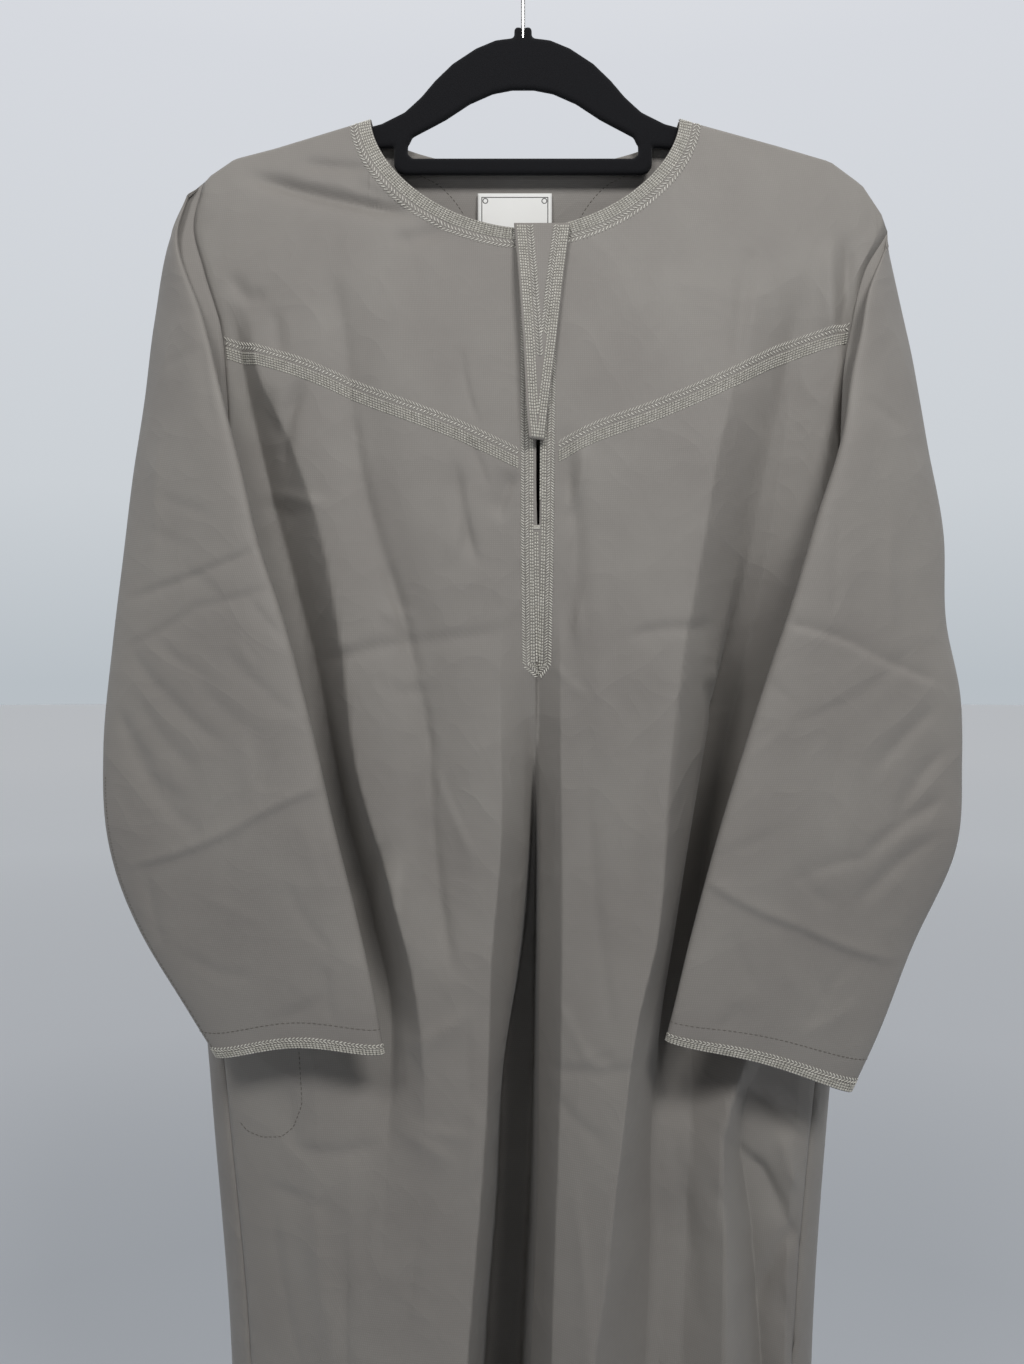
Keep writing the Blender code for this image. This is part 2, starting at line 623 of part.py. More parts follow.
def outward_normals(points, side):
    """Normals of a grid of points, pointing out of the sleeve."""
    along = np.gradient(points, axis=1)
    down = np.gradient(points, axis=0)
    return unit(np.cross(down, along)) * side


def armhole_seam(grids, side):
    """Edge of a sleeve along one panel's armhole, and the panel's normals there."""
    outer, inner = grids
    edge, beside = (0, 1) if side < 0 else (-1, -2)
    normal = (outer[:, edge] - inner[:, edge]) / CLOTH_WALL
    away = outer[:, edge] - outer[:, beside]
    away -= normal * np.sum(away * normal, axis=-1, keepdims=True)
    away[:, 2] = 0.0
    return outer[:, edge] + unit(away) * ARMHOLE_GAP, normal


def over_shoulder(front_side, back_side, columns):
    """Values along the roll of the shoulder, from the front panel over to the back panel."""
    arch = np.concatenate([front_side[ROLL_ROW::-1], back_side[:ROLL_ROW + 1]])
    at = np.linspace(0, len(arch) - 1, columns)
    return np.stack([np.interp(at, np.arange(len(arch)), arch[:, k]) for k in range(3)], axis=-1)


def sleeve_points(table, side, front_seam, back_seam):
    """Grid of a sleeve's outer points: rows down the arm, columns round it."""
    columns = TUCK_STEPS + 2 * FACE_STEPS + 1
    rows = [over_shoulder(front_seam, back_seam, columns)]
    for row in range(ROLL_ROW + 1, UNDERARM_ROW + 1):
        seam_drop = -front_seam[row, 2]
        start, end = front_seam[row], back_seam[row]
        if row == UNDERARM_ROW:
            start = end = (start + end) / 2 + np.array([side * UNDERARM_GAP, 0.0, 0.0])
        rows.append(sleeve_section(table, side, seam_drop, start, end))
    underarm = rows[-1][0]
    top = underarm_drop(side)
    for seam_drop in np.linspace(top, table[-1][0], SLEEVE_ROWS_BELOW + 1)[1:]:
        fold = np.array([column(table, SLEEVE_COLUMNS, name, seam_drop)
                         for name in ("fold_across", "fold_depth", "fold_drop")], dtype=float)
        settled = np.array([fold[0] + side * SEAM_IN, SEAM_BEHIND - fold[1], -fold[2]])
        share = min((seam_drop - top) / SEAM_SETTLE, 1.0)
        shares = np.array([share ** 3, share, share])       # first forward, then across
        seam = underarm + (settled - underarm) * shares
        seam[1] -= SEAM_FORWARD * share * (1 - share)
        rows.append(sleeve_section(table, side, float(seam_drop), seam, seam))
    return np.array(rows)


def build_sleeve(name, table, side, front_grid, back_grid, cloth, braid):
    front_seam, front_normal = armhole_seam(front_grid, side)
    back_seam, back_normal = armhole_seam(back_grid, side)
    outer = sleeve_points(table, side, front_seam, back_seam)
    normal = outward_normals(outer, side)
    joined_from = UNDERARM_ROW - ROLL_ROW
    normal[1:joined_from, 0] = front_normal[ROLL_ROW + 1:UNDERARM_ROW]
    normal[1:joined_from, -1] = back_normal[ROLL_ROW + 1:UNDERARM_ROW]
    normal[0] = over_shoulder(front_normal, back_normal, outer.shape[1])
    round_seam = normal[joined_from:, 0] + normal[joined_from:, -1]
    round_seam[0] = (0.0, 0.0, -1.0)
    normal[joined_from:, 0] = normal[joined_from:, -1] = unit(round_seam)
    inner = outer - normal * CLOTH_WALL
    in_lengths(name, SLEEVE_LENGTHS, outer, inner, cloth, joined_from=joined_from)
    last, above = outer[-1], outer[-2]
    step = np.linalg.norm(last - above, axis=-1, keepdims=True)
    band_top = last + (above - last) * CUFF_BAND_WIDTH / step
    band = np.stack([band_top, last])[:, :-1]
    band_normal = np.stack([normal[-1], normal[-1]])[:, :-1]
    wall(name.replace("sleeve", "cuff_band"), band + band_normal * (BAND_LIFT + BAND_THICKNESS),
         band + band_normal * BAND_LIFT, braid, ring=True)


# ------------------------------------------------------------------ bands, placket and flap
def neck_turns(start, end, steps, depth):
    """Turns along the neck curve, close together where the cloth rolls over the shoulder."""
    fine = [math.degrees(math.asin((SHOULDER_ROLL * share / depth) ** (NECK_SQUARENESS / 2)))
            for share in (0.0, 0.12, 0.36, 0.68, 1.0, 1.8)]
    turns = fine if start == 0 else [start]
    closing = [180.0 - turn for turn in reversed(fine)] if end == 180 else [end]
    return np.array(turns[:-1] + list(np.linspace(turns[-1], closing[0], steps + 1))
                    + closing[1:])


def neck_band(name, turns, place_points, depth, finish):
    """Embroidered band along the neck edge, at the turns given along its curve."""
    start, end = turns[0], turns[-1]
    angle = np.radians(turns)
    power = 2.0 / NECK_SQUARENESS

    def curve(at):
        across = NECK_MIDDLE - NECK_HALF_WIDTH * np.sign(np.cos(at)) * np.abs(np.cos(at)) ** power
        drop = NECK_POINT_DROP + depth * np.abs(np.sin(at)) ** power
        return across, drop
    across, drop = curve(angle)
    before = curve(np.maximum(angle - 0.01, np.radians(start)))
    after = curve(np.minimum(angle + 0.01, np.radians(end)))
    tangent = unit(np.stack([after[0] - before[0], after[1] - before[1]], axis=-1))
    outward = np.stack([-tangent[:, 1], tangent[:, 0]], axis=-1)
    grids = []
    for lift in (BAND_LIFT + BAND_THICKNESS, BAND_LIFT):
        lines = []
        for width in np.linspace(BAND_EDGE_INSET, BAND_WIDTH, BAND_LINES):
            x = across + outward[:, 0] * width
            d = np.maximum(drop + outward[:, 1] * width, ridge_drop(x))
            lines.append(place_points(x, d, lift))
        grids.append(np.stack(lines))
    wall(name, grids[0], grids[1], finish)


def yoke_band(name, route, side, finish):
    """Embroidered band on a slant across the chest, its outer end along the armhole seam."""
    route = np.array(route, dtype=float)
    across = np.linspace(route[0, 0], route[-1, 0], YOKE_PLACES)
    top = column(route, YOKE_COLUMNS, "drop", across)
    outer_end = 0 if side < 0 else -1
    grids = []
    for lift in (BAND_LIFT + BAND_THICKNESS, BAND_LIFT):
        lines = []
        for width in (0.0, BAND_WIDTH / 2, BAND_WIDTH):
            line = across.copy()
            drop = top + width
            line[outer_end] = float(front_edge(side, drop[outer_end])) - side * YOKE_END_GAP
            lines.append(on_front(line, drop, lift))
        grids.append(np.stack(lines))
    wall(name, grids[0], grids[1], finish)


def strip_on_front(name, across, drops, lift, thickness, finish, skipped=()):
    drop = np.repeat(drops[:, None], across.shape[1], axis=1)
    wall(name, on_front(across, drop, lift + thickness), on_front(across, drop, lift),
         finish, skipped=skipped)


def placket_panel(finish):
    """Embroidered panel round the neck slit, its two halves parted along the slit."""
    plain = np.array(PLACKET, dtype=float)
    slit_drops = np.linspace(plain[0, 0], PLACKET_SLIT_END, PLACKET_SLIT_ROWS + 1)
    low_drops = np.linspace(PLACKET_SLIT_END, PLACKET_POINT_START, PLACKET_POINT_ROWS + 1)
    drops = np.concatenate([slit_drops, low_drops[1:], [plain[-1, 0]]])
    left = np.interp(drops, plain[:, 0], plain[:, 1])
    right = np.interp(drops, plain[:, 0], plain[:, 2])
    slit_left = np.minimum(SLIT_MIDDLE - SLIT_WIDTH / 2, left + (right - left) * 0.45)
    slit_right = np.maximum(SLIT_MIDDLE + SLIT_WIDTH / 2, left + (right - left) * 0.55)
    slit_left[-1] = left[-1] + (right[-1] - left[-1]) * 0.4
    slit_right[-1] = left[-1] + (right[-1] - left[-1]) * 0.6
    across = np.stack([left, (left + slit_left) / 2, slit_left,
                       slit_right, (slit_right + right) / 2, right], axis=1)
    slit = {(row, 2) for row in range(PLACKET_SLIT_ROWS)}
    strip_on_front("placket_panel", across, drops, BAND_LIFT, BAND_THICKNESS, finish, slit)


def placket_flap(finish):
    """Tab of folded cloth that hangs from the neck over the slit."""
    plain = np.array(FLAP, dtype=float)
    drops = np.linspace(plain[0, 0], plain[-1, 0], FLAP_ROWS + 1)
    left = np.interp(drops, plain[:, 0], plain[:, 1])
    right = np.interp(drops, plain[:, 0], plain[:, 2])
    across = np.stack([left + (right - left) * share for share in (0, 0.25, 0.5, 0.75, 1.0)],
                      axis=1)
    strip_on_front("placket_flap", across, drops, FLAP_LIFT, FLAP_THICKNESS, finish)


def pocket_bag(name, size, finish):
    """Flat bag of cloth that hangs inside a side seam, its corners rounded."""
    drops = np.linspace(size["top"], size["bottom"], POCKET_ROWS + 1)
    half = (size["bottom"] - size["top"]) / 2
    middle = (size["bottom"] + size["top"]) / 2
    rounded = 1.0 - POCKET_ROUNDING * np.abs((drops - middle) / half) ** 6
    edge = front_edge(size["side"], drops) - size["side"] * POCKET_SEAM_ALLOWANCE
    reach = size["side"] * size["reach"] * rounded
    across = edge[:, None] - reach[:, None] * np.linspace(0, 1, POCKET_COLUMNS + 1)
    drop = np.repeat(drops[:, None], across.shape[1], axis=1)
    top = -CLOTH_WALL - POCKET_GAP
    wall(name, on_front(across, drop, top), on_front(across, drop, top - POCKET_THICKNESS), finish)


def neck_label(finish):
    """Woven label, flat inside the back below the neck."""
    bpy.ops.mesh.primitive_cube_add(size=1.0)
    label = bpy.context.object
    label.name = "neck_label"
    corners = np.array([[LABEL_MIDDLE + s * LABEL_WIDTH / 2, LABEL_TOP_DROP + d * LABEL_HEIGHT]
                        for s in (-1, 0, 1) for d in (0, 1)])
    y = back_y(corners[:, 0], corners[:, 1]).min() - CLOTH_WALL - LABEL_GAP - LABEL_THICKNESS / 2
    centre = Vector((LABEL_MIDDLE, float(y), -LABEL_TOP_DROP - LABEL_HEIGHT / 2)) * MM
    size = (LABEL_WIDTH * MM, LABEL_THICKNESS * MM, LABEL_HEIGHT * MM, 1.0)
    label.data.transform(Matrix.Diagonal(size))
    label.location = centre
    for holder in list(label.users_collection):
        holder.objects.unlink(label)
    PARTS.objects.link(label)
    label.data.materials.append(finish)


# ------------------------------------------------------------------ hanger
def mirrored_outline(right_half):
    """Closed outline from its right half, listed from the top middle to the bottom middle."""
    left_half = [(-across, drop) for across, drop in reversed(right_half) if across > 0]
    return list(right_half) + left_half


def curve_to_mesh(holder):
    """The evaluated curve as a welded mesh, its flat sides made one face each."""
    graph = bpy.context.evaluated_depsgraph_get()
    graph.update()
    mesh = bpy.data.meshes.new_from_object(holder.evaluated_get(graph))
    mesh.transform(holder.matrix_world)
    work = bmesh.new()
    work.from_mesh(mesh)
    bmesh.ops.remove_doubles(work, verts=work.verts, dist=0.00001)
    bmesh.ops.dissolve_limit(work, angle_limit=math.radians(0.5), verts=work.verts,
                             edges=work.edges)
    work.to_mesh(mesh)
    work.free()
    bpy.data.objects.remove(holder)
    return mesh


def flat_piece(name, outline, finish, collection):
    """Plate of the hanger's thickness, cut to an outline, its edges softened."""
    curve = bpy.data.curves.new(name, "CURVE")
    curve.dimensions = "2D"
    curve.fill_mode = "BOTH"
    curve.extrude = HANGER_THICKNESS / 2 * MM
    spline = curve.splines.new("POLY")
    spline.points.add(len(outline) - 1)
    for point, (across, drop) in zip(spline.points, outline):
        point.co = (across * MM, -drop * MM, 0.0, 1.0)
    spline.use_cyclic_u = True
    holder = bpy.data.objects.new(name + "_outline", curve)
    collection.objects.link(holder)
    holder.rotation_euler = (math.radians(90), 0, 0)
    bpy.context.view_layer.update()
    mesh = curve_to_mesh(holder)
    mesh.materials.append(finish)
    plate = bpy.data.objects.new(name, mesh)
    collection.objects.link(plate)
    soft = plate.modifiers.new("soft_edges", "BEVEL")
    soft.width = HANGER_EDGE * MM
    soft.segments = 1
    soft.limit_method = "ANGLE"
    soft.angle_limit = math.radians(60)
    return plate


def as_cutter(thing):
    thing.hide_render = True
    thing.display_type = "WIRE"
    for holder in list(thing.users_collection):
        holder.objects.unlink(thing)
    CUTTERS.objects.link(thing)


def combine(thing, other, operation):
    step = thing.modifiers.new(other.name, "BOOLEAN")
    step.operation = operation
    step.object = other
    as_cutter(other)


def hanger_body(finish):
    """Arched arms and the trouser bar under them, with a bore for the foot of the hook."""
    collar = ((COLLAR_HALF_WIDTH, COLLAR_TOP_DROP), (COLLAR_HALF_WIDTH, COLLAR_SHOULDER_DROP))
    arms = mirrored_outline(collar + HANGER_TOP + HANGER_TIP + HANGER_UNDER + HANGER_ARCH)
    body = flat_piece("hanger_body", arms, finish, PARTS)
    bar = flat_piece("hanger_bar", mirrored_outline(HANGER_BAR), finish, PARTS)
    combine(body, bar, "UNION")
    bore_top = COLLAR_TOP_DROP - BORE_CUTTER_EXTRA
    bore_bottom = COLLAR_TOP_DROP + HOOK_BORE_DEPTH
    bpy.ops.mesh.primitive_cylinder_add(vertices=16, radius=HOOK_BORE / 2 * MM,
                                        depth=(bore_bottom - bore_top) * MM,
                                        location=(0, 0, -(bore_top + bore_bottom) / 2 * MM))
    bore = bpy.context.object
    bore.name = "hook_bore"
    combine(body, bore, "DIFFERENCE")


def hanger_hook(finish):
    """Bent steel wire: its foot stands in the collar, its crook opens to the left."""
    centre_drop = HOOK_RADIUS - HOOK_WIRE / 2
    foot = [(0.0, COLLAR_TOP_DROP + HOOK_BORE_DEPTH - HOOK_FOOT_GAP), (0.0, HOOK_FOOT_TOP_DROP)]
    crook = []
    for angle in np.linspace(HOOK_START_ANGLE, HOOK_END_ANGLE, HOOK_PLACES):
        turn = math.radians(angle)
        crook.append((HOOK_RADIUS * math.cos(turn), centre_drop - HOOK_RADIUS * math.sin(turn)))
    route = foot + list(HOOK_NECK) + crook
    curve = bpy.data.curves.new("hook_wire", "CURVE")
    curve.dimensions = "3D"
    curve.bevel_depth = HOOK_WIRE / 2 * MM
    curve.bevel_resolution = 2
    curve.use_fill_caps = True
    spline = curve.splines.new("POLY")
    spline.points.add(len(route) - 1)
    for point, (across, drop) in zip(spline.points, route):
        point.co = (across * MM, 0.0, -drop * MM, 1.0)
    holder = bpy.data.objects.new("hook_wire", curve)
    PARTS.objects.link(holder)
    bpy.context.view_layer.update()
    place("hanger_hook", curve_to_mesh(holder), finish)


# ------------------------------------------------------------------ the whole garment
for old in list(bpy.data.objects):
    bpy.data.objects.remove(old)
PARTS = bpy.data.collections.new("thobe_robe")
CUTTERS = bpy.data.collections.new("cutters")
bpy.context.scene.collection.children.link(PARTS)
bpy.context.scene.collection.children.link(CUTTERS)

taupe = material("taupe_cotton_blend", CLOTH_COLOUR, 0.8)
braid = material("embroidery_thread", BAND_COLOUR, 0.6)
woven = material("woven_label", LABEL_COLOUR, 0.7)
flock = material("black_flock", FLOCK_COLOUR, 0.95)
steel = material("polished_steel", STEEL_COLOUR, 0.25, 1.0)

front_grid = build_front(taupe)
back_grid = build_back(taupe)
build_sleeve("sleeve_left", LEFT_SLEEVE, -1, front_grid, back_grid, taupe, braid)
build_sleeve("sleeve_right", RIGHT_SLEEVE, 1, front_grid, back_grid, taupe, braid)

neck_band("neck_band_front_left", neck_turns(0, 84, 12, NECK_FRONT_DEPTH), on_front,
          NECK_FRONT_DEPTH, braid)
neck_band("neck_band_front_right", neck_turns(108, 180, 10, NECK_FRONT_DEPTH), on_front,
          NECK_FRONT_DEPTH, braid)
neck_band("neck_band_back", neck_turns(0, 180, 14, NECK_BACK_DEPTH), on_back_across,
          NECK_BACK_DEPTH, braid)
yoke_band("yoke_band_left", YOKE_LEFT, -1, braid)
yoke_band("yoke_band_right", YOKE_RIGHT, 1, braid)
placket_panel(braid)
placket_flap(taupe)
for bag_name, bag in POCKETS.items():
    pocket_bag(bag_name, bag, taupe)
neck_label(woven)
hanger_body(flock)
hanger_hook(steel)
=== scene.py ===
import math

import bmesh
import bpy
import numpy as np
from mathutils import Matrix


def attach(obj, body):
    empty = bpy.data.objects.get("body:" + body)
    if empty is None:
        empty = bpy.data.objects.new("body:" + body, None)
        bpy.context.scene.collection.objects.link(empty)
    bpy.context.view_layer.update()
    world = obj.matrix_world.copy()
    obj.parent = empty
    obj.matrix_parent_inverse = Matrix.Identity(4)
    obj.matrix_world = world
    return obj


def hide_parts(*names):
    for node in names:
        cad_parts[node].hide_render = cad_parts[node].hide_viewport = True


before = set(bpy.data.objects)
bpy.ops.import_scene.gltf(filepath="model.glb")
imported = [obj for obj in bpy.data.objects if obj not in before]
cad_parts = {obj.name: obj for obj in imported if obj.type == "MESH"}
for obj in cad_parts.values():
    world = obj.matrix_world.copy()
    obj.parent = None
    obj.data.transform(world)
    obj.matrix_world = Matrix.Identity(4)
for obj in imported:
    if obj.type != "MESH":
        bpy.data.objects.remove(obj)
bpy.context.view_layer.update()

MM = 0.001

# ------------------------------------------------------------------ hook
# Drawn steel wire, bent to a crook and nickel plated. Its foot is pressed into the hanger's
# collar, and its free end is dipped to a small bead.
WIRE = 3.2
CROOK_RADIUS = 21.6             # to the middle of the wire
CROOK_ANGLES = (-44.0, 205.0)   # from its start above the neck, round over the rail
CROOK_STEPS = 64
HOOK_FOOT = ((0.0, 93.4), (0.0, 70.0))
HOOK_NECK = ((0.0, 64.0), (0.1, 60.0), (0.6, 55.0), (2.0, 50.6), (4.4, 46.4), (7.4, 42.6),
             (10.8, 39.2))
BEAD_RADIUS = 2.0


def linear(hex_colour):
    """An sRGB hex colour as linear red, green, blue and alpha."""
    parts = [int(hex_colour[i:i + 2], 16) / 255 for i in (0, 2, 4)]
    return [p / 12.92 if p <= 0.04045 else ((p + 0.055) / 1.055) ** 2.4 for p in parts] + [1.0]


def add_node(tree, kind, inputs=None, **settings):
    """Adds a node with its settings, each input given a value or another node's socket."""
    node = tree.nodes.new(kind)
    for name, value in settings.items():
        setattr(node, name, value)
    for name, value in (inputs or {}).items():
        if isinstance(value, bpy.types.NodeSocket):
            tree.links.new(value, node.inputs[name])
        else:
            node.inputs[name].default_value = value
    return node


def new_finish(name):
    """A material with its node tree and its Principled shader."""
    made = bpy.data.materials.new(name)
    made.use_nodes = True
    return made, made.node_tree, made.node_tree.nodes["Principled BSDF"]


def fit(piece, slot, *nodes):
    """Puts a piece on the part's one body, in place of its solids."""
    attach(piece, "root")
    if nodes:
        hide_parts(*nodes)


# Nickel plate over drawn steel: bright, with soft reflections.
nickel, tree, shader = new_finish("nickel_plated_steel_wire")
shader.inputs["Base Color"].default_value = linear("c9c8c6")
shader.inputs["Metallic"].default_value = 1.0
shader.inputs["Roughness"].default_value = 0.24

bpy.ops.object.select_all(action="DESELECT")
crook_drop = CROOK_RADIUS - WIRE / 2
crook = [(CROOK_RADIUS * math.cos(a), crook_drop - CROOK_RADIUS * math.sin(a))
         for a in np.radians(np.linspace(*CROOK_ANGLES, CROOK_STEPS))]
wire_route = list(HOOK_FOOT + HOOK_NECK) + crook
bpy.ops.object.add(type="CURVE")
hook = bpy.context.object
hook.name = "hook"
hook.data.dimensions = "3D"
hook.data.bevel_depth = WIRE / 2 * MM
hook.data.bevel_resolution = 5
hook.data.use_fill_caps = True
spline = hook.data.splines.new("POLY")
spline.points.add(len(wire_route) - 1)
for point, (across, drop) in zip(spline.points, wire_route):
    point.co = (across * MM, 0.0, -drop * MM, 1.0)
bpy.ops.object.convert(target="MESH")
bpy.ops.mesh.primitive_uv_sphere_add(segments=20, ring_count=12, radius=BEAD_RADIUS * MM,
                                     location=(crook[-1][0] * MM, 0, -crook[-1][1] * MM))
hook.select_set(True)
bpy.context.view_layer.objects.active = hook
bpy.ops.object.join()
hook = bpy.context.object
bpy.ops.object.transform_apply(location=True, rotation=True, scale=True)
bpy.ops.object.shade_smooth_by_angle(angle=math.radians(40))
hook.data.materials.clear()
hook.data.materials.append(nickel)
fit(hook, "steel", "hanger_hook")

# ------------------------------------------------------------------ hanger body
# Moulded plastic plate with arched arms and a trouser bar, coated with black flock. The
# flock softens every edge and shows neither the mould's seam nor a gloss.
FLOCK_GRAIN = 0.9               # real fibres are 0.05 mm, too fine to show
FLOCK_VOXEL = 0.95              # rounds the plate's edges by about this much

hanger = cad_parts["hanger_body"].copy()
hanger.data = hanger.data.copy()
hanger.name = "flocked_hanger"
for key in list(hanger.keys()):
    del hanger[key]
bpy.context.scene.collection.objects.link(hanger)
bpy.ops.object.select_all(action="DESELECT")
hanger.select_set(True)
bpy.context.view_layer.objects.active = hanger
bpy.ops.object.mode_set(mode="EDIT")
bpy.ops.mesh.select_all(action="SELECT")
bpy.ops.mesh.remove_doubles(threshold=0.00001)
bpy.ops.object.mode_set(mode="OBJECT")
for kind, settings in (("REMESH", {"mode": "VOXEL", "voxel_size": FLOCK_VOXEL * MM}),
                       ("SMOOTH", {"factor": 0.5, "iterations": 5})):
    step = hanger.modifiers.new(kind.lower(), kind)
    for name, value in settings.items():
        setattr(step, name, value)
    bpy.ops.object.modifier_apply(modifier=step.name)
bpy.ops.object.shade_smooth()

# Black nylon flock: no gloss, a grey bloom where light grazes the fibres.
flock, tree, shader = new_finish("black_nylon_flock")
place = add_node(tree, "ShaderNodeTexCoord")
grain = add_node(tree, "ShaderNodeTexNoise", {"Vector": place.outputs["Object"],
                 "Scale": 1 / (FLOCK_GRAIN * MM), "Detail": 2.0, "Roughness": 0.6})
tone = add_node(tree, "ShaderNodeValToRGB", {"Fac": grain.outputs["Fac"]})
tone.color_ramp.elements[0].color = linear("0c0c0e")
tone.color_ramp.elements[1].color = linear("1c1c1f")
pile = add_node(tree, "ShaderNodeBump", {"Height": grain.outputs["Fac"], "Strength": 0.6,
                                         "Distance": 0.25 * MM})
tree.links.new(tone.outputs["Color"], shader.inputs["Base Color"])
tree.links.new(pile.outputs["Normal"], shader.inputs["Normal"])
shader.inputs["Roughness"].default_value = 0.95
shader.inputs["Specular IOR Level"].default_value = 0.15
shader.inputs["Sheen Weight"].default_value = 0.12
shader.inputs["Sheen Roughness"].default_value = 0.5
hanger.data.materials.clear()
hanger.data.materials.append(flock)
fit(hanger, "flock", "hanger_body")

# ------------------------------------------------------------------ front panel
# Plain-woven polyester and cotton suiting, cut in one piece with a slit below the neck. It
# hangs over the hanger's arms, falls in one deep middle fold, and is creased from packing.
HEM_DROP = 1573.0
CLOTH = 1.0                     # thickness that the shell is given
SEAM_GAP = 0.3
SHOULDER_ROLL = 5.2             # half thickness of the cloth folded over the hanger's arm
SHOULDER_FALL = 60.0            # drop over which the cloth reaches its full depth
ARMS_DROP, ARMS_FADE = 300.0, 100.0     # above these, front and back stay apart over the arms
ARMS_FREE = 1000.0              # the limit that is left below them, out of reach
NECK_MIDDLE = 1.5
NECK_HALF_WIDTH = 112.8
NECK_POINT_DROP = 153.0
NECK_FRONT_DEPTH = 89.7
NECK_SQUARENESS = 1.8
SLIT_MIDDLE = 10.0
SLIT_HALF_WIDTH = 1.3
SLIT_END_DROP = 455.0
UNDERARM_SHARE = 0.2093         # share of the length from shoulder tip to hem
EDGE_FADE = 0.16                # share of the width in which folds fade out towards a side
RIDGE_FADE = 30.0               # drop over which they begin below the shoulders
NORMAL_STEP = 0.4               # over which the slope is taken: millimetres, or degrees of turn
SHOULDER_TIPS = {-1: 197.0, 1: 235.0}

BODY_SQUARENESS = 2.5
BODY_COLUMNS = ("drop", "middle", "half_width", "front_depth", "back_depth")
BODY = (
    (150, 10, 276, 24, 12),
    (235, 11, 272, 30, 18),
    (320, 8, 258, 38, 26),
    (420, 4, 246, 45, 34),
    (500, 2, 243, 49, 42),
    (600, 0, 240, 54, 50),
    (750, -1, 235, 60, 60),
    (860, -2, 225, 66, 70),
    (1065, -1, 210, 76, 84),
    (1300, 0, 214, 84, 98),
    (1573, 0, 224, 92, 108),
)
RIDGE = (       # across and drop of the top line over the hanger's arms
    (-290, 262), (-254, 225), (-230, 195), (-211, 182), (-182, 174.5), (-112, 153.2),
    (114, 152.6), (186, 172.5), (225, 184), (248, 201), (262, 222), (266.5, 235), (290, 262),
)
EDGE_COLUMNS = ("drop", "left_front", "left_back", "right_front", "right_back")
ARMHOLE_EDGES = (
    (195, -232, -232, 270, 270),
    (235, -240, -240, 266.5, 266.5),
    (268, -231, -234, 247.5, 255),
    (316, -216, -226, 234, 243),
    (380, -213, -224, 226, 236),
    (440, -220, -228, 228, 236),
    (485, -241, -241, 236, 240),
    (515, -241, -241, 244.6, 244.6),
)
SIDE_SEAM_COLUMNS = ("drop", "turn")    # degrees that the back wraps round to the front
SIDE_SEAM = ((485, 2), (560, 8), (700, 20), (900, 27), (1573, 27))

FOLD_COLUMNS = ("drop", "across", "rise", "half_width")     # a pressed line has no width
FRONT_FOLDS = {     # name: how square the fold is, then its course down the cloth
    "left_soft_valley": (2.0, (
        (280, -131, 0, 18), (320, -124, -3, 18), (468, -99, -5, 20), (537, -78, -5, 20),
        (694, -57, -5, 18), (770, -50, 0, 18))),
    "left_pipe": (2.0, (
        (700, -60, 0, 50), (900, -72, 5, 56), (1573, -88, 14, 52))),
    "left_hem_valley": (2.2, (
        (1050, -150, 0, 18), (1300, -148, -10, 20), (1573, -146, -22, 22))),
}

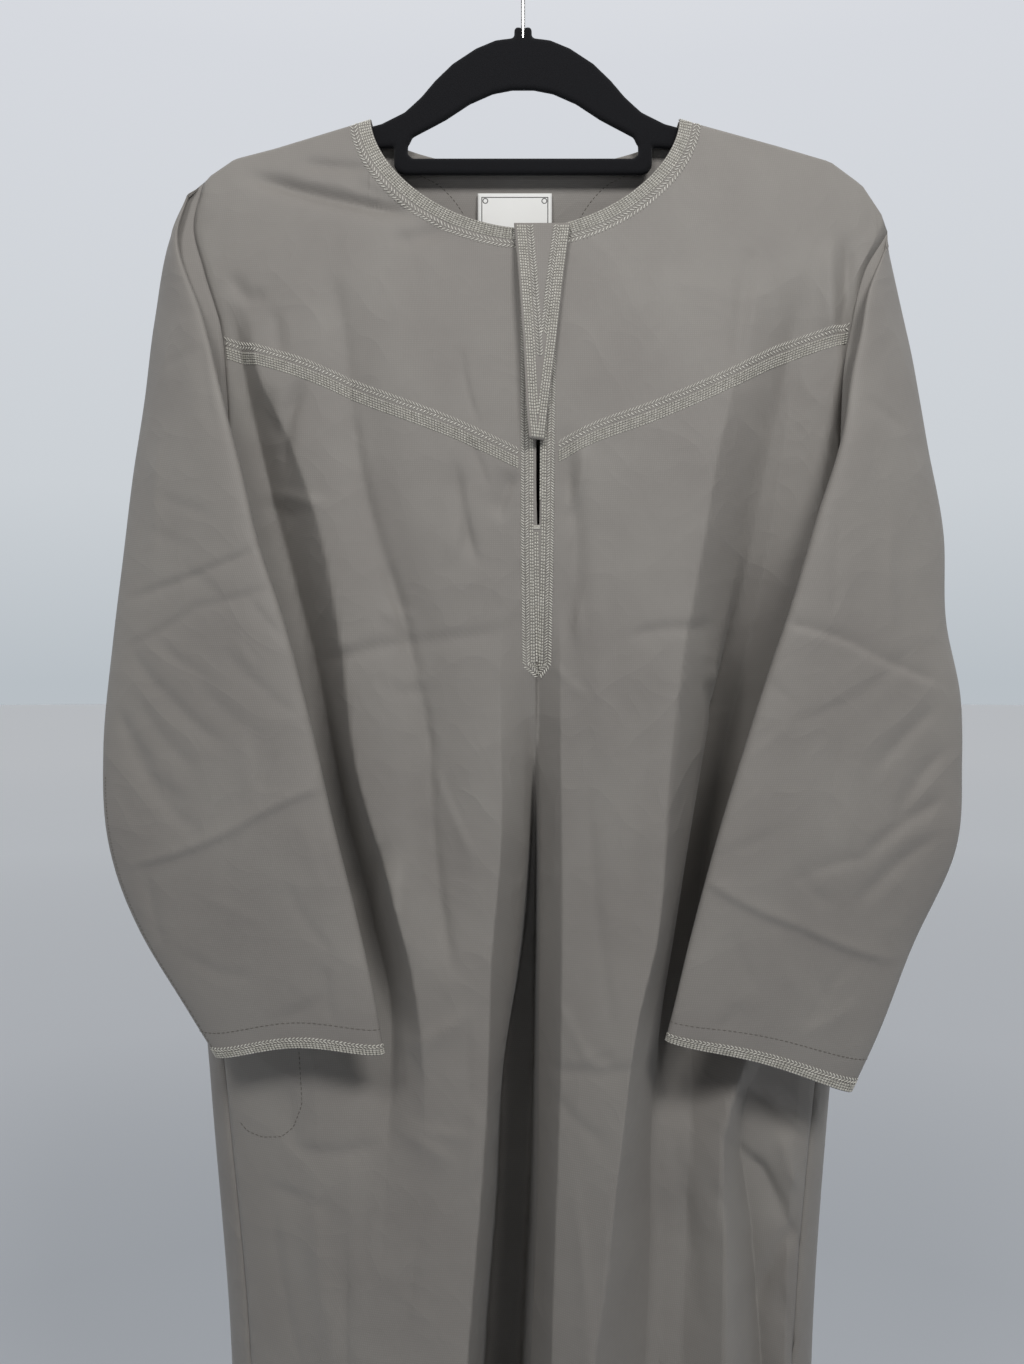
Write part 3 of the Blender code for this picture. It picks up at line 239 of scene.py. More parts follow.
# Pressed lines that run down the front, from left to right, each with its drop, place across
# and rise. The cloth is flat between one and the next, so each is a crisp edge: the fold
# beside the left sleeve, the middle fold, the right lap, and the fold beside the right
# sleeve, which spreads out below the cuff.
PLEAT_LINES = {
    "left_fold_start": (
        (300, -228, 0), (433, -222, 0), (544, -200, 0), (626, -186, 0), (723, -165, 0),
        (818, -145, 0), (960, -140, 0)),
    "left_fold_outer": (
        (300, -218, 0), (433, -203, -14), (544, -178, -22), (626, -163, -24),
        (723, -141, -22), (818, -118, -10), (900, -118, 0)),
    "left_fold_bottom": (
        (290, -208, 0), (340, -201, -10), (380, -194, -20), (433, -182, -28), (481, -169, -32),
        (544, -152, -36), (626, -135, -38), (723, -112, -40), (790, -94, -30),
        (860, -92, -10), (960, -96, 0)),
    "left_fold_brink": (
        (290, -198, 0), (357, -184, 0), (385, -170, 0), (447, -146, 0), (530, -128, 1),
        (633, -113, 2), (702, -92, 2), (744, -80, 2), (818, -68, 1), (960, -74, 0)),
    "left_lap_edge": (
        (480, -14, 0), (571, -16, 1), (682, -16, 2), (751, -22, 3),
        (854, -25, 4), (958, -33, 4), (1020, -38, 5), (1573, -60, 6)),
    "left_flank_foot": (
        (480, -2, 0), (571, 3, -8), (613, 4, -16), (682, 3, -26), (751, -3, -32),
        (854, -17, -24), (958, -24, -26), (1020, -29, -28), (1573, -46, -36)),
    "middle_fold_left": (
        (480, 4, 0), (571, 6, -8), (613, 6.5, -20), (682, 6, -52), (751, 2, -80),
        (854, -14, -104), (958, -19, -116), (1020, -24, -122), (1573, -40, -140)),
    "middle_fold_right": (
        (480, 6, 0), (571, 8, -8), (613, 8.5, -20), (682, 9, -52), (751, 9, -80),
        (854, 8, -104), (958, 5, -116), (1020, 2, -122), (1573, -12, -140)),
    "right_flank_foot": (
        (480, 10, 0), (571, 10, -12), (613, 10.4, -18), (682, 11, -24),
        (751, 11, -26), (854, 10, -27), (958, 8, -27), (1020, 5, -27),
        (1573, -8, -32)),
    "right_lap_start": (
        (480, 24, 0), (571, 25, 0), (751, 26, 0), (854, 24, 1), (958, 20, 2),
        (1020, 18, 3), (1573, 4, 6)),
    "right_lap_edge": (
        (270, 172, 0), (330, 154, 4), (400, 136, 9), (479, 121, 12), (547, 108, 14),
        (626, 98, 15), (744, 87, 18), (785, 76, 20), (865, 64, 21),
        (951, 53, 22), (1036, 40, 22), (1573, 28, 28)),
    "sleeve_fold_brink": (
        (270, 196, 0), (330, 182, -4), (400, 168, -9), (479, 152, -13), (586, 132, -16),
        (672, 117, -18), (744, 105, -18), (801, 95, -16), (865, 90, -20),
        (951, 88, -20), (1036, 84, -20), (1573, 80, -30)),
    "sleeve_fold_left": (
        (270, 204, 0), (330, 190, -6), (400, 175, -12), (479, 160, -20), (540, 147, -40),
        (586, 138, -60), (672, 119, -76), (744, 108, -76), (801, 99, -60),
        (840, 97, -30), (865, 96, -20), (951, 94, -22), (1036, 92, -22),
        (1573, 92, -34)),
    "sleeve_fold_right": (
        (270, 212, 0), (330, 200, -6), (400, 186, -12), (479, 174, -20), (540, 164, -40),
        (586, 158, -60),
        (672, 142, -76), (744, 132, -76), (801, 122, -50), (840, 118, -28),
        (865, 116, -16), (951, 112, -16), (1036, 108, -16), (1573, 108, -26)),
    "under_cuff_ridge": (
        (330, 225, 0), (479, 205, 0), (586, 196, 0), (672, 186, 0),
        (744, 172, 0), (801, 160, 0), (865, 137, 5), (951, 135, 8),
        (1036, 134, 9), (1573, 134, 12)),
    "pocket_valley": (
        (330, 232, 0), (744, 190, 0), (801, 176, 0), (865, 153, -14),
        (951, 160, -18), (1036, 166, -18), (1573, 170, -22)),
    "pocket_edge": ((330, 238, 0), (744, 205, 0), (865, 190, 0), (1573, 200, 0)),
}

# Creases run from one place to another along a bowed line and fade out at both ends. A
# rise below 0 is a trough. Lean makes one flank steeper, as a pressed crease has.
CREASE_COLUMNS = ("across", "drop", "to_across", "to_drop", "bow", "rise", "half_width", "lean")
CREASE_OVERRUN, CREASE_FADE = 0.15, 0.4     # shares of its length, past and before its ends
FRONT_PRESS = 1.5               # the front is creased deeper than the rest
PRESSED_BELOW = 5.0             # narrower creases are pressed lines, crisp between two flats
PRESSED_WIDTH, PRESSED_POWER, SOFT_POWER = 1.25, 1.0, 1.6
FRONT_CREASES = (
    # pulled from the shoulder to the neck
    (-194, 198, -82, 229, 2.1, -5, 6, 0.5),
    (-160, 188, -112, 195, 0.7, -2.6, 4, 0.4),
    (-126, 203, -89, 219, 1.4, -1.6, 4, 0.3),
    (-93, 251, -50, 242, 1.4, -1.8, 6, 0.2),
    # dents beside the left armhole, and a pinch against the sleeve
    (-209, 275, -195, 292, 1.4, -1.6, 5, 0.3),
    (-200, 298, -184, 289, -1.4, -1.3, 4, 0.2),
    (-176, 301, -171, 335, 0.7, -1.3, 5, 0.3),
    (-156, 358, -166, 416, 4.2, -2.6, 5, 0.5),
    (-181, 358, -172, 392, 2.1, -1.6, 5, 0.3),
    (-181, 427, -140, 441, 0.7, 1.7, 1.8, 0.6),
    (-189, 433, -157, 448, 1.4, -1.6, 4, 0.3),
    # one long line down the left chest
    (-135, 275, -121, 369, -2.1, -1.4, 4, 0.7),
    (-121, 369, -99, 471, 2.8, -2.4, 4, 0.8),
    (-99, 471, -73, 571, -2.8, -2.2, 5, 0.7),
    (-71, 571, -63, 646, -2.1, -2.6, 3.5, 0.9),
    (-63, 646, -49, 754, 2.1, -2.4, 4, 0.9),
    # short darts left of the placket
    (-43, 332, -32, 384, 2.1, -0.9, 2, 0.5),
    (-36, 399, -25, 430, -0.7, -0.9, 2, 0.5),
    (-45, 417, -33, 479, 2.1, -2.4, 3.2, 0.8),
    (-41, 433, -52, 482, -2.1, 1.3, 5, 0.2),
    (-5, 423, -17, 451, 2.1, -2.2, 4, 0.4),
    # where it lay folded across the waist
    (-93, 508, -82, 529, 1.4, 1.1, 2, 0.8),
    (-96, 520, -77, 518, -0.7, 1, 2, 0.6),
    (-141, 548, -93, 538, 1.4, -1.4, 3, 0.9),
    (-104, 539, -16, 529, 1.4, -1, 3, 0.8),
    (-88, 571, -63, 570, 0.7, -0.8, 2.5, 0.6),
    (74, 533, 121, 529, -2.8, -1.2, 2.6, 0.9),
    (118, 537, 131, 549, 0.7, 1.2, 2, 0.8),
    (113, 530, 131, 524, -0.7, -1.1, 2.4, 0.6),
    # left lap, between the sleeve and the middle fold
    (-64, 618, -33, 686, 1.4, 1, 2.6, 0.8),
    (-84, 687, -76, 754, 2.8, 2.2, 7, 0.4),
    (-123, 646, -121, 700, 0.0, 1.8, 4, 0.4),
    (-98, 680, -110, 754, 2.1, -3.4, 6, 0.4),
    (-88, 700, -80, 794, 2.1, 2.2, 6, 0.3),
    (-86, 814, -38, 788, 2.8, 1.8, 4, 0.6),
    (-39, 789, -36, 847, -0.7, -0.9, 2.4, 0.7),
    (-156, 884, -98, 878, 3.5, -1.6, 4, 0.5),
    (-98, 876, -74, 820, -3.5, -1.5, 4, 0.5),
    (-86, 866, -48, 885, -1.4, 1.3, 4, 0.6),
    (-81, 862, -35, 868, 1.4, 1, 3, 0.6),
    (-160, 846, -155, 884, 1.4, -1.2, 4, 0.4),
    (-176, 912, -133, 920, -0.7, -0.9, 3, 0.8),
    (-142, 906, -128, 1018, 1.4, 1.6, 7, 0.5),
    (-121, 937, -115, 1120, 0.0, -1.3, 5, 0.5),
    (-99, 885, -108, 954, 1.4, -1.4, 6, 0.4),
    (-31, 847, -36, 900, -2.1, 1.4, 6, 0.4),
    # right chest
    (161, 256, 164, 267, 0.0, -1.1, 1.4, 0.5),
    (162, 270, 152, 354, 2.1, -1.5, 6, 0.8),
    (195, 298, 189, 384, 1.4, -1.4, 8, 0.3),
    (221, 253, 221, 320, 1.4, 2.4, 6, 0.2),
    (234, 250, 229, 325, -1.4, -3.4, 6, 0.2),
    # the facing shows as a soft step right of the placket
    (30, 403, 32, 537, -4.2, -3.6, 7, 0.3),
    (42, 402, 34, 445, -2.8, 2, 5, 0.5),
    (34, 445, 39, 537, 2.1, 1.8, 5, 0.4),
    (20, 552, 41, 574, 1.4, 0.9, 1.6, 0.5),
    (50, 482, 55, 619, 2.1, 1, 9, 0.2),
    (80, 578, 71, 714, -2.8, -1, 9, 0.2),
    # right lap, with a second fold line across it
    (39, 812, 55, 822, 1.4, 1.3, 2.4, 0.8),
    (42, 821, 59, 813, 0.7, -1, 2.4, 0.5),
    (16, 827, 78, 818, 2.1, -1.1, 3, 0.8),
    (22, 845, 55, 870, 2.1, -1, 3, 0.6),
    (24, 782, 41, 812, 1.4, 0.9, 3, 0.6),
    # pulled from the right pocket's mouth
    (148, 843, 190, 866, 1.4, -2.2, 4, 0.6),
    (162, 846, 195, 882, 1.4, -2.4, 3.6, 0.7),
    (176, 849, 196, 871, 0.7, -1.6, 3, 0.6),
    (160, 897, 185, 937, -2.1, -2, 4, 0.6),
    (189, 943, 165, 1000, 2.1, -2.4, 5, 0.6),
    (180, 880, 190, 916, 0.7, 2.2, 5, 0.4),
    (134, 870, 168, 905, 2.0, -1.6, 3, 0.7),
    (128, 905, 160, 965, -2.0, -1.5, 4, 0.6),
    (168, 902, 196, 960, 3.0, -2.2, 4, 0.7),
    (104, 880, 118, 1000, -3.0, -1.8, 4, 0.5),
    (140, 960, 150, 1060, 2.0, 1.6, 4, 0.6),
    (178, 985, 196, 1080, -2.0, -1.8, 4, 0.6),
    # faint lines down both laps
    (44, 640, 60, 800, 2.0, -0.9, 3, 0.6),
    (34, 900, 44, 1040, -2.0, 0.9, 3, 0.6),
    (-62, 905, -84, 1040, 2.0, -1.0, 3, 0.6),
    (-112, 955, -150, 1050, -2.0, -1.0, 3, 0.6),
    (-172, 925, -150, 1030, 3.0, -1.1, 3, 0.6),
    # long soft falls towards the hem
    (-60, 1090, -72, 1400, 4.0, -2.2, 9, 0.2),
    (-30, 1180, -38, 1540, -3.0, 1.8, 8, 0.2),
    (-175, 1100, -182, 1420, 3.0, -2.4, 8, 0.3),
    (48, 1100, 40, 1380, 3.0, -1.8, 8, 0.3),
    (150, 1180, 158, 1500, -4.0, -3.2, 9, 0.2),
    (118, 1260, 122, 1560, 2.0, 2.4, 10, 0.2),
    (-108, 1290, -70, 1276, 2.0, -1.0, 3, 0.8),
    (30, 1206, 92, 1218, 3.0, -1.0, 3, 0.8),
)


def column(table, columns, wanted, at):
    """One named column, read smoothly between the rows at the places given."""
    rows = np.array(table, dtype=float)
    knots = rows[:, 0]
    values = rows[:, columns.index(wanted)]
    slopes = np.gradient(values, knots)
    at = np.clip(np.asarray(at, dtype=float), knots[0], knots[-1])
    row = np.clip(np.searchsorted(knots, at, side="right") - 1, 0, len(knots) - 2)
    span = knots[row + 1] - knots[row]
    t = (at - knots[row]) / span
    start = values[row] * (1 + 2 * t) * (1 - t) ** 2 + slopes[row] * span * t * (1 - t) ** 2
    end = values[row + 1] * t * t * (3 - 2 * t) - slopes[row + 1] * span * t * t * (1 - t)
    return start + end


def ease(t):
    t = np.clip(t, 0.0, 1.0)
    return t * t * (3.0 - 2.0 * t)


def unit(vectors):
    return vectors / np.maximum(np.linalg.norm(vectors, axis=-1, keepdims=True), 1e-9)


def crease_rise(creases, across, drop):
    """Sum of the creases at each place of the cloth."""
    total = np.zeros(np.broadcast(across, drop).shape)
    for row in creases:
        crease = dict(zip(CREASE_COLUMNS, row))
        x, d = across - crease["across"], drop - crease["drop"]
        way_x, way_d = crease["to_across"] - crease["across"], crease["to_drop"] - crease["drop"]
        length = math.hypot(way_x, way_d)
        way_x, way_d = way_x / length, way_d / length
        along = (x * way_x + d * way_d) / length
        off = d * way_x - x * way_d - crease["bow"] * 4 * along * (1 - along)
        fade = (ease((along + CREASE_OVERRUN) / CREASE_FADE)
                * ease((1 + CREASE_OVERRUN - along) / CREASE_FADE))
        pressed = crease["half_width"] < PRESSED_BELOW
        off /= crease["half_width"] * (PRESSED_WIDTH if pressed else 1.0)
        flank = np.exp(-np.abs(off) ** (PRESSED_POWER if pressed else SOFT_POWER))
        total += crease["rise"] * fade * flank * (1 + crease["lean"] * off)
    return total


def fold_rise(folds, across, drop):
    """Sum of the folds: above 0 stands out of the cloth, below 0 is a valley."""
    total = np.zeros(np.broadcast(across, drop).shape)
    for squareness, rows in folds.values():
        middle = column(rows, FOLD_COLUMNS, "across", drop)
        rise = column(rows, FOLD_COLUMNS, "rise", drop)
        half = column(rows, FOLD_COLUMNS, "half_width", drop)
        rise = np.where((drop >= rows[0][0]) & (drop <= rows[-1][0]), rise, 0.0)
        total += rise * np.exp(-np.abs((across - middle) / half) ** squareness)
    return total


def pleat_rise(lines, across, drop):
    """Height of the cloth over pressed lines, flat between each line and the next."""
    total = np.zeros(np.broadcast(across, drop).shape)
    for before, after in zip(lines, lines[1:]):
        start, end = [column(rows, FOLD_COLUMNS, "across", drop) for rows in (before, after)]
        low, high = [column(rows, FOLD_COLUMNS, "rise", drop) for rows in (before, after)]
        total += (high - low) * np.clip((across - start) / (end - start), 0.0, 1.0)
    return total


def ridge_drop(across):
    return np.interp(across, *np.array(RIDGE, dtype=float).T)


def body_span(drop):
    """The body's middle and half width."""
    return [column(BODY, BODY_COLUMNS, name, drop) for name in ("middle", "half_width")]


def body_depth(across, drop, depth_column):
    """Depth of one side of the body from the hanger's plane, and how far from its edge."""
    middle, half = body_span(drop)
    deep = column(BODY, BODY_COLUMNS, depth_column, drop)
    share = np.clip(np.abs((across - middle) / half), 0.0, 1.0)
    full = deep * (1.0 - share ** BODY_SQUARENESS) ** (1.0 / BODY_SQUARENESS)
    below = np.maximum(drop - ridge_drop(across), 0.0)
    rolled = 1.0 - np.minimum(below / SHOULDER_ROLL, 1.0)
    roll = SHOULDER_ROLL * np.sqrt(1.0 - rolled ** 2)
    fallen = 1.0 - np.exp(-below / SHOULDER_FALL)
    return (roll + (full - SHOULDER_ROLL) * fallen, ease((1.0 - share) / EDGE_FADE),
            ease(below / RIDGE_FADE))


def front_y(across, drop):
    depth, from_edge, from_ridge = body_depth(across, drop, "front_depth")
    creased = FRONT_PRESS * from_edge * from_ridge * crease_rise(FRONT_CREASES, across, drop)
    pleats = list(PLEAT_LINES.values())
    folded = fold_rise(FRONT_FOLDS, across, drop) + pleat_rise(pleats, across, drop)
    return -(depth + from_edge * folded + creased)


def on_front(across, drop, lift):
    """Points of the front cloth, moved out along its normal by lift."""
    step = NORMAL_STEP
    y = front_y(across, drop)
    slope_x = (front_y(across + step, drop) - front_y(across - step, drop)) / (2 * step)
    slope_drop = (front_y(across, drop + step) - y) / step
    normal = unit(np.stack([slope_x, -np.ones_like(y), -slope_drop], axis=-1))
    points = np.stack([across, y, -drop], axis=-1) + normal * np.asarray(lift)[..., None]
    over_arms = -SEAM_GAP / 2 + ARMS_FREE * ease((drop - ARMS_DROP) / ARMS_FADE)
    points[..., 1] = np.minimum(points[..., 1], over_arms)
    return points


def underarm_drop(side):
    return SHOULDER_TIPS[side] + (HEM_DROP - SHOULDER_TIPS[side]) * UNDERARM_SHARE


def side_name(side):
    return "left" if side < 0 else "right"


def front_edge(side, drop):
    """Where the front panel ends: the armhole, then the side seam."""
    armhole = column(ARMHOLE_EDGES, EDGE_COLUMNS, side_name(side) + "_front", drop)
    middle, half = body_span(drop)
    turn = np.radians(column(SIDE_SEAM, SIDE_SEAM_COLUMNS, "turn", drop))
    seam = middle + side * half * np.cos(turn) ** (2 / BODY_SQUARENESS)
    return np.where(drop < underarm_drop(side), armhole, seam)


def neck_drop(across, depth):
    share = np.clip(np.abs((across - NECK_MIDDLE) / NECK_HALF_WIDTH), 0.0, 1.0)
    return NECK_POINT_DROP + depth * (1.0 - share ** NECK_SQUARENESS) ** (1.0 / NECK_SQUARENESS)


# Rows of the cloth, as shares of its length: round the roll over the hanger's arm, down to
# the underarm, close together to below the cuffs, and wider apart from there to the hem.
ROLL_SHARES = (0.0, 0.0006, 0.0016, 0.0026, 0.0037)
ROLL_ROW = len(ROLL_SHARES) - 1
UNDERARM_ROW = ROLL_ROW + 84
FINE_SHARE, FINE_ROWS, SKIRT_ROWS = 0.64, 186, 34
LENGTH_SHARES = np.concatenate([
    ROLL_SHARES[:-1],
    ROLL_SHARES[-1] + (UNDERARM_SHARE - ROLL_SHARES[-1])
    * np.linspace(0, 1, UNDERARM_ROW - ROLL_ROW + 1) ** 1.1,
    np.linspace(UNDERARM_SHARE, FINE_SHARE, FINE_ROWS)[1:],
    FINE_SHARE + (1 - FINE_SHARE) * np.linspace(0, 1, SKIRT_ROWS)[1:] ** 1.2])
BLEND_SHARE = 0.16              # share of the length in which the columns spread out
SHOULDER_LEFT, NECK_LEFT, NECK_RIGHT, SHOULDER_RIGHT = 30, 52, 38, 34    # columns of the front
LOW_LEFT, LOW_RIGHT = -115.0, 118.0     # where the neck's outer columns settle
SLIT_CLOSED = 0.25              # share of the slit's width that is left below its end
SLIT_CLOSING = 60.0             # drop over which it narrows
NECK_SPREAD_LEFT, NECK_SPREAD_RIGHT = 1.5, 1.3      # above 1 brings columns nearer the slit
EDGE_DRAW = 7.0                 # columns this near a pressed line are drawn to it
EDGE_DRAW_SHARE, EDGE_DRAW_FADE = 0.85, 60.0
FOLLOWED = ("sleeve_fold_brink", "sleeve_fold_left")    # steep, so two columns keep to them
FOLLOW_DROPS = (520.0, 600.0, 1000.0, 1080.0)   # fading in, and out
FOLLOW_ROW, FOLLOW_ACROSS = 160, 111.0  # where the first of the two is chosen
FOLLOW_COLUMNS = 16             # columns either side that give way
SEAM_DIP = 1.2                  # how far an edge sinks into its seam
PUCKER = 0.4                    # height of the small waves beside a seam
PUCKER_WAVES = (2.9, 4.3, 31.0)
PUCKER_REACH, SEAM_DIP_ROWS = 1.5, 3.0  # columns that it reaches, and rows in which both begin


def closed_piece(name, points, faces, face_uv=None):
    """A smooth mesh object in the scene, its faces turned outwards."""
    mesh = bpy.data.meshes.new(name)
    mesh.from_pydata(points, [], faces)
    if face_uv is not None:
        layer = mesh.uv_layers.new(name="cloth")
        layer.data.foreach_set("uv", face_uv.reshape(-1).astype(np.float32))
    work = bmesh.new()
    work.from_mesh(mesh)
    bmesh.ops.recalc_face_normals(work, faces=work.faces)
    work.to_mesh(mesh)
    work.free()
    mesh.shade_smooth()
    piece = bpy.data.objects.new(name, mesh)
    bpy.context.scene.collection.objects.link(piece)
    return piece


def cloth_shell(name, outer, inner, uv, holes=None, joined_from=None):
    """A closed shell of cloth between two grids of points, laid out by its uv in metres."""
    rows, columns, _ = outer.shape
    vertex = np.arange(rows * columns).reshape(rows, columns)
    if joined_from is not None:
        vertex[joined_from:, -1] = vertex[joined_from:, 0]
    r, c = np.indices((rows - 1, columns - 1))
    if holes is not None:
        r, c = r[~holes], c[~holes]
    r, c = r.ravel(), c.ravel()
    round_face = ((r, c), (r, c + 1), (r + 1, c + 1), (r + 1, c))
    corners = np.stack([vertex[at] for at in round_face], -1)
    corner_uv = np.stack([uv[at] for at in round_face], 1)
    count = rows * columns
    starts = corners.ravel()
    ends = np.roll(corners, -1, axis=1).ravel()
    rim = ~np.isin(starts * count + ends, ends * count + starts)
    a, b = starts[rim], ends[rim]
    rim_uv = np.repeat(uv.reshape(-1, 2)[a][:, None], 4, axis=1)
    faces = np.concatenate([corners, corners[:, ::-1] + count,
                            np.stack([b, a, a + count, b + count], -1)])
    face_uv = np.concatenate([corner_uv, corner_uv[:, ::-1], rim_uv])
    used, faces = np.unique(faces, return_inverse=True)
    points = np.concatenate([outer.reshape(-1, 3), inner.reshape(-1, 3)])[used] * MM
    return closed_piece(name, points.tolist(), faces.reshape(-1, 4).tolist(), face_uv)


def laid_flat(outer, from_column):
    """UV of a grid in metres: distance along each row from one column, and down it."""
    steps = np.linalg.norm(np.diff(outer, axis=1), axis=-1)
    across = np.concatenate([np.zeros((len(outer), 1)), np.cumsum(steps, axis=1)], axis=1)
    across -= across[:, from_column:from_column + 1]
    return np.stack([across, outer[..., 2]], axis=-1) * MM


def seam_lift(drops, from_edge):
    """Lift of a panel's columns: its edges dip into the seams, and pucker beside them."""
    short, longer, slow = [drops / wave for wave in PUCKER_WAVES]
    pucker = (np.sin(short) + np.sin(longer + 1.0)) / 2 * (0.6 + 0.4 * np.sin(slow))
    lift = np.zeros(drops.shape)
    for away in from_edge:
        beside = np.exp(-((away - 1) / PUCKER_REACH) ** 2)
        lift += np.where(away == 0, -SEAM_DIP, PUCKER * pucker * beside)
    return lift * ease((np.arange(len(drops)) - ROLL_ROW) / SEAM_DIP_ROWS)[:, None]


def front_grid_columns():
    """Place across of each column of the front: along its top edge, and lower down."""
    neck_left, neck_right = NECK_MIDDLE - NECK_HALF_WIDTH, NECK_MIDDLE + NECK_HALF_WIDTH
    slit_left, slit_right = SLIT_MIDDLE - SLIT_HALF_WIDTH, SLIT_MIDDLE + SLIT_HALF_WIDTH
    tips = [float(front_edge(side, SHOULDER_TIPS[side])) for side in (-1, 1)]
    quarter_left = np.linspace(0, np.pi / 2, NECK_LEFT + 1)
    quarter_right = np.linspace(0, np.pi / 2, NECK_RIGHT + 1)
    top = np.concatenate([
        np.linspace(tips[0], neck_left, SHOULDER_LEFT + 1)[:-1],
        neck_left + (slit_left - neck_left) * (1 - np.cos(quarter_left[:-1])),
        [slit_left, slit_right],
        slit_right + (neck_right - slit_right) * np.sin(quarter_right[1:]),
        np.linspace(neck_right, tips[1], SHOULDER_RIGHT + 1)[1:]])
    left = 1.0 - np.arange(NECK_LEFT) / NECK_LEFT
    right = np.arange(1, NECK_RIGHT + 1) / NECK_RIGHT
    low = np.concatenate([
        np.zeros(SHOULDER_LEFT), slit_left + (LOW_LEFT - slit_left) * left ** NECK_SPREAD_LEFT,
        [slit_left, slit_right],
        slit_right + (LOW_RIGHT - slit_right) * right ** NECK_SPREAD_RIGHT,
        np.zeros(SHOULDER_RIGHT)])
    return top, low


top, low = front_grid_columns()
number = np.arange(len(top))
last = len(top) - 1
slit_column = SHOULDER_LEFT + NECK_LEFT
over_neck = (number >= SHOULDER_LEFT) & (number <= last - SHOULDER_RIGHT)
top_drop = np.where(over_neck, neck_drop(top, NECK_FRONT_DEPTH), ridge_drop(top))
top_drop[0], top_drop[-1] = SHOULDER_TIPS[-1], SHOULDER_TIPS[1]


def settled_across(drop):
    """Place across of each column once it has left the neck and shoulders."""
    left, right = front_edge(-1, drop), front_edge(1, drop)
    from_left = left + (LOW_LEFT - left) * np.clip(number / SHOULDER_LEFT, 0, 1)
    from_right = right + (LOW_RIGHT - right) * np.clip((last - number) / SHOULDER_RIGHT, 0, 1)
    return np.where(over_neck, low, np.where(number < SHOULDER_LEFT, from_left, from_right))


drops = top_drop + (HEM_DROP - top_drop) * LENGTH_SHARES[:, None]
settled = np.stack([settled_across(row) for row in drops])
from_top = (1 - ease(LENGTH_SHARES / BLEND_SHARE))[:, None]
across = settled + (top - settled_across(top_drop)) * from_top
slit_open = ease((SLIT_END_DROP - drops[:, slit_column]) / SLIT_CLOSING + 0.5)
narrower = SLIT_HALF_WIDTH * (1 - SLIT_CLOSED) * (1 - slit_open)
across[:, slit_column] += narrower
across[:, slit_column + 1] -= narrower
start, full, fade, end = FOLLOW_DROPS
followed = ease((drops - start) / (full - start)) * ease((end - drops) / (end - fade))
lead = int(np.argmin(np.abs(across[FOLLOW_ROW] - FOLLOW_ACROSS)))
for step, name in enumerate(FOLLOWED):      # the second moves only what lies to its right
    line = column(PLEAT_LINES[name], FOLD_COLUMNS, "across", drops)
    beside = number - lead - step
    near = np.maximum(1 - np.abs(beside) / FOLLOW_COLUMNS, 0) * ((step == 0) | (beside >= 0))
    across += followed * near * (line - across)[:, lead + step:lead + step + 1]
for name, rows in PLEAT_LINES.items():
    off = across - column(rows, FOLD_COLUMNS, "across", drops)
    drawn = EDGE_DRAW_SHARE * ease((drops - rows[0][0]) / EDGE_DRAW_FADE)
    if name in FOLLOWED:
        drawn = drawn * (1 - followed)
    across -= drawn * off * np.maximum(1 - np.abs(off) / EDGE_DRAW, 0)
front_lift = seam_lift(drops, from_edge=(number, last - number))
front_outer = on_front(across, drops, front_lift)
front_inner = on_front(across, drops, front_lift - CLOTH)
slit = np.zeros((len(drops) - 1, last), dtype=bool)
slit[:int(np.searchsorted(drops[:, slit_column], SLIT_END_DROP)), slit_column] = True
front = cloth_shell("front_cloth", front_outer, front_inner,
                    laid_flat(front_outer, slit_column), holes=slit)

# Taupe plain weave in polyester and cotton: matt, with a faint sheen across the fold of the
# threads and a slightly uneven colour.
THREAD_PITCH = 1.5              # real threads are 0.35 mm apart, too fine to show
THREAD_DEPTH = 0.12
THREAD_SHADE = 0.34             # how much of the colour's change is the threads'
CLOUD = 110.0                   # size of the patches of uneven colour
CRUMPLES = ((70.0, 1.6), (26.0, 0.5))   # sizes and depths of faint crumples left by packing
CRUMPLED_PATCH = 150.0          # size of the patches in which they come and go

taupe, tree, shader = new_finish("taupe_polyester_cotton_weave")
flat = add_node(tree, "ShaderNodeUVMap", uv_map="cloth")
turn = 2 * math.pi / 20         # a wave texture's length at scale 1
warp, weft = [add_node(tree, "ShaderNodeTexWave",
                       {"Vector": flat.outputs["UV"], "Scale": turn / (THREAD_PITCH * MM),
                        "Distortion": 1.2, "Detail": 1.0, "Detail Scale": 0.6},
                       bands_direction=way) for way in ("X", "Y")]
weave = add_node(tree, "ShaderNodeMath", {0: warp.outputs["Fac"], 1: weft.outputs["Fac"]},
                 operation="MULTIPLY")
cloud = add_node(tree, "ShaderNodeTexNoise", {"Vector": flat.outputs["UV"],
                 "Scale": 1 / (CLOUD * MM), "Detail": 4.0, "Roughness": 0.55})
mixed = add_node(tree, "ShaderNodeMath", {0: weave.outputs[0], 1: THREAD_SHADE,
                                          2: cloud.outputs["Fac"]}, operation="MULTIPLY_ADD")
tone = add_node(tree, "ShaderNodeValToRGB", {"Fac": mixed.outputs[0]})
tone.color_ramp.elements[0].position = 0.25
tone.color_ramp.elements[0].color = linear("827d78")
tone.color_ramp.elements[1].position = 0.95
tone.color_ramp.elements[1].color = linear("928e88")
strength = add_node(tree, "ShaderNodeTexNoise", {"Vector": flat.outputs["UV"],
                    "Scale": 1 / (CRUMPLED_PATCH * MM), "Detail": 1.0})
bump = None
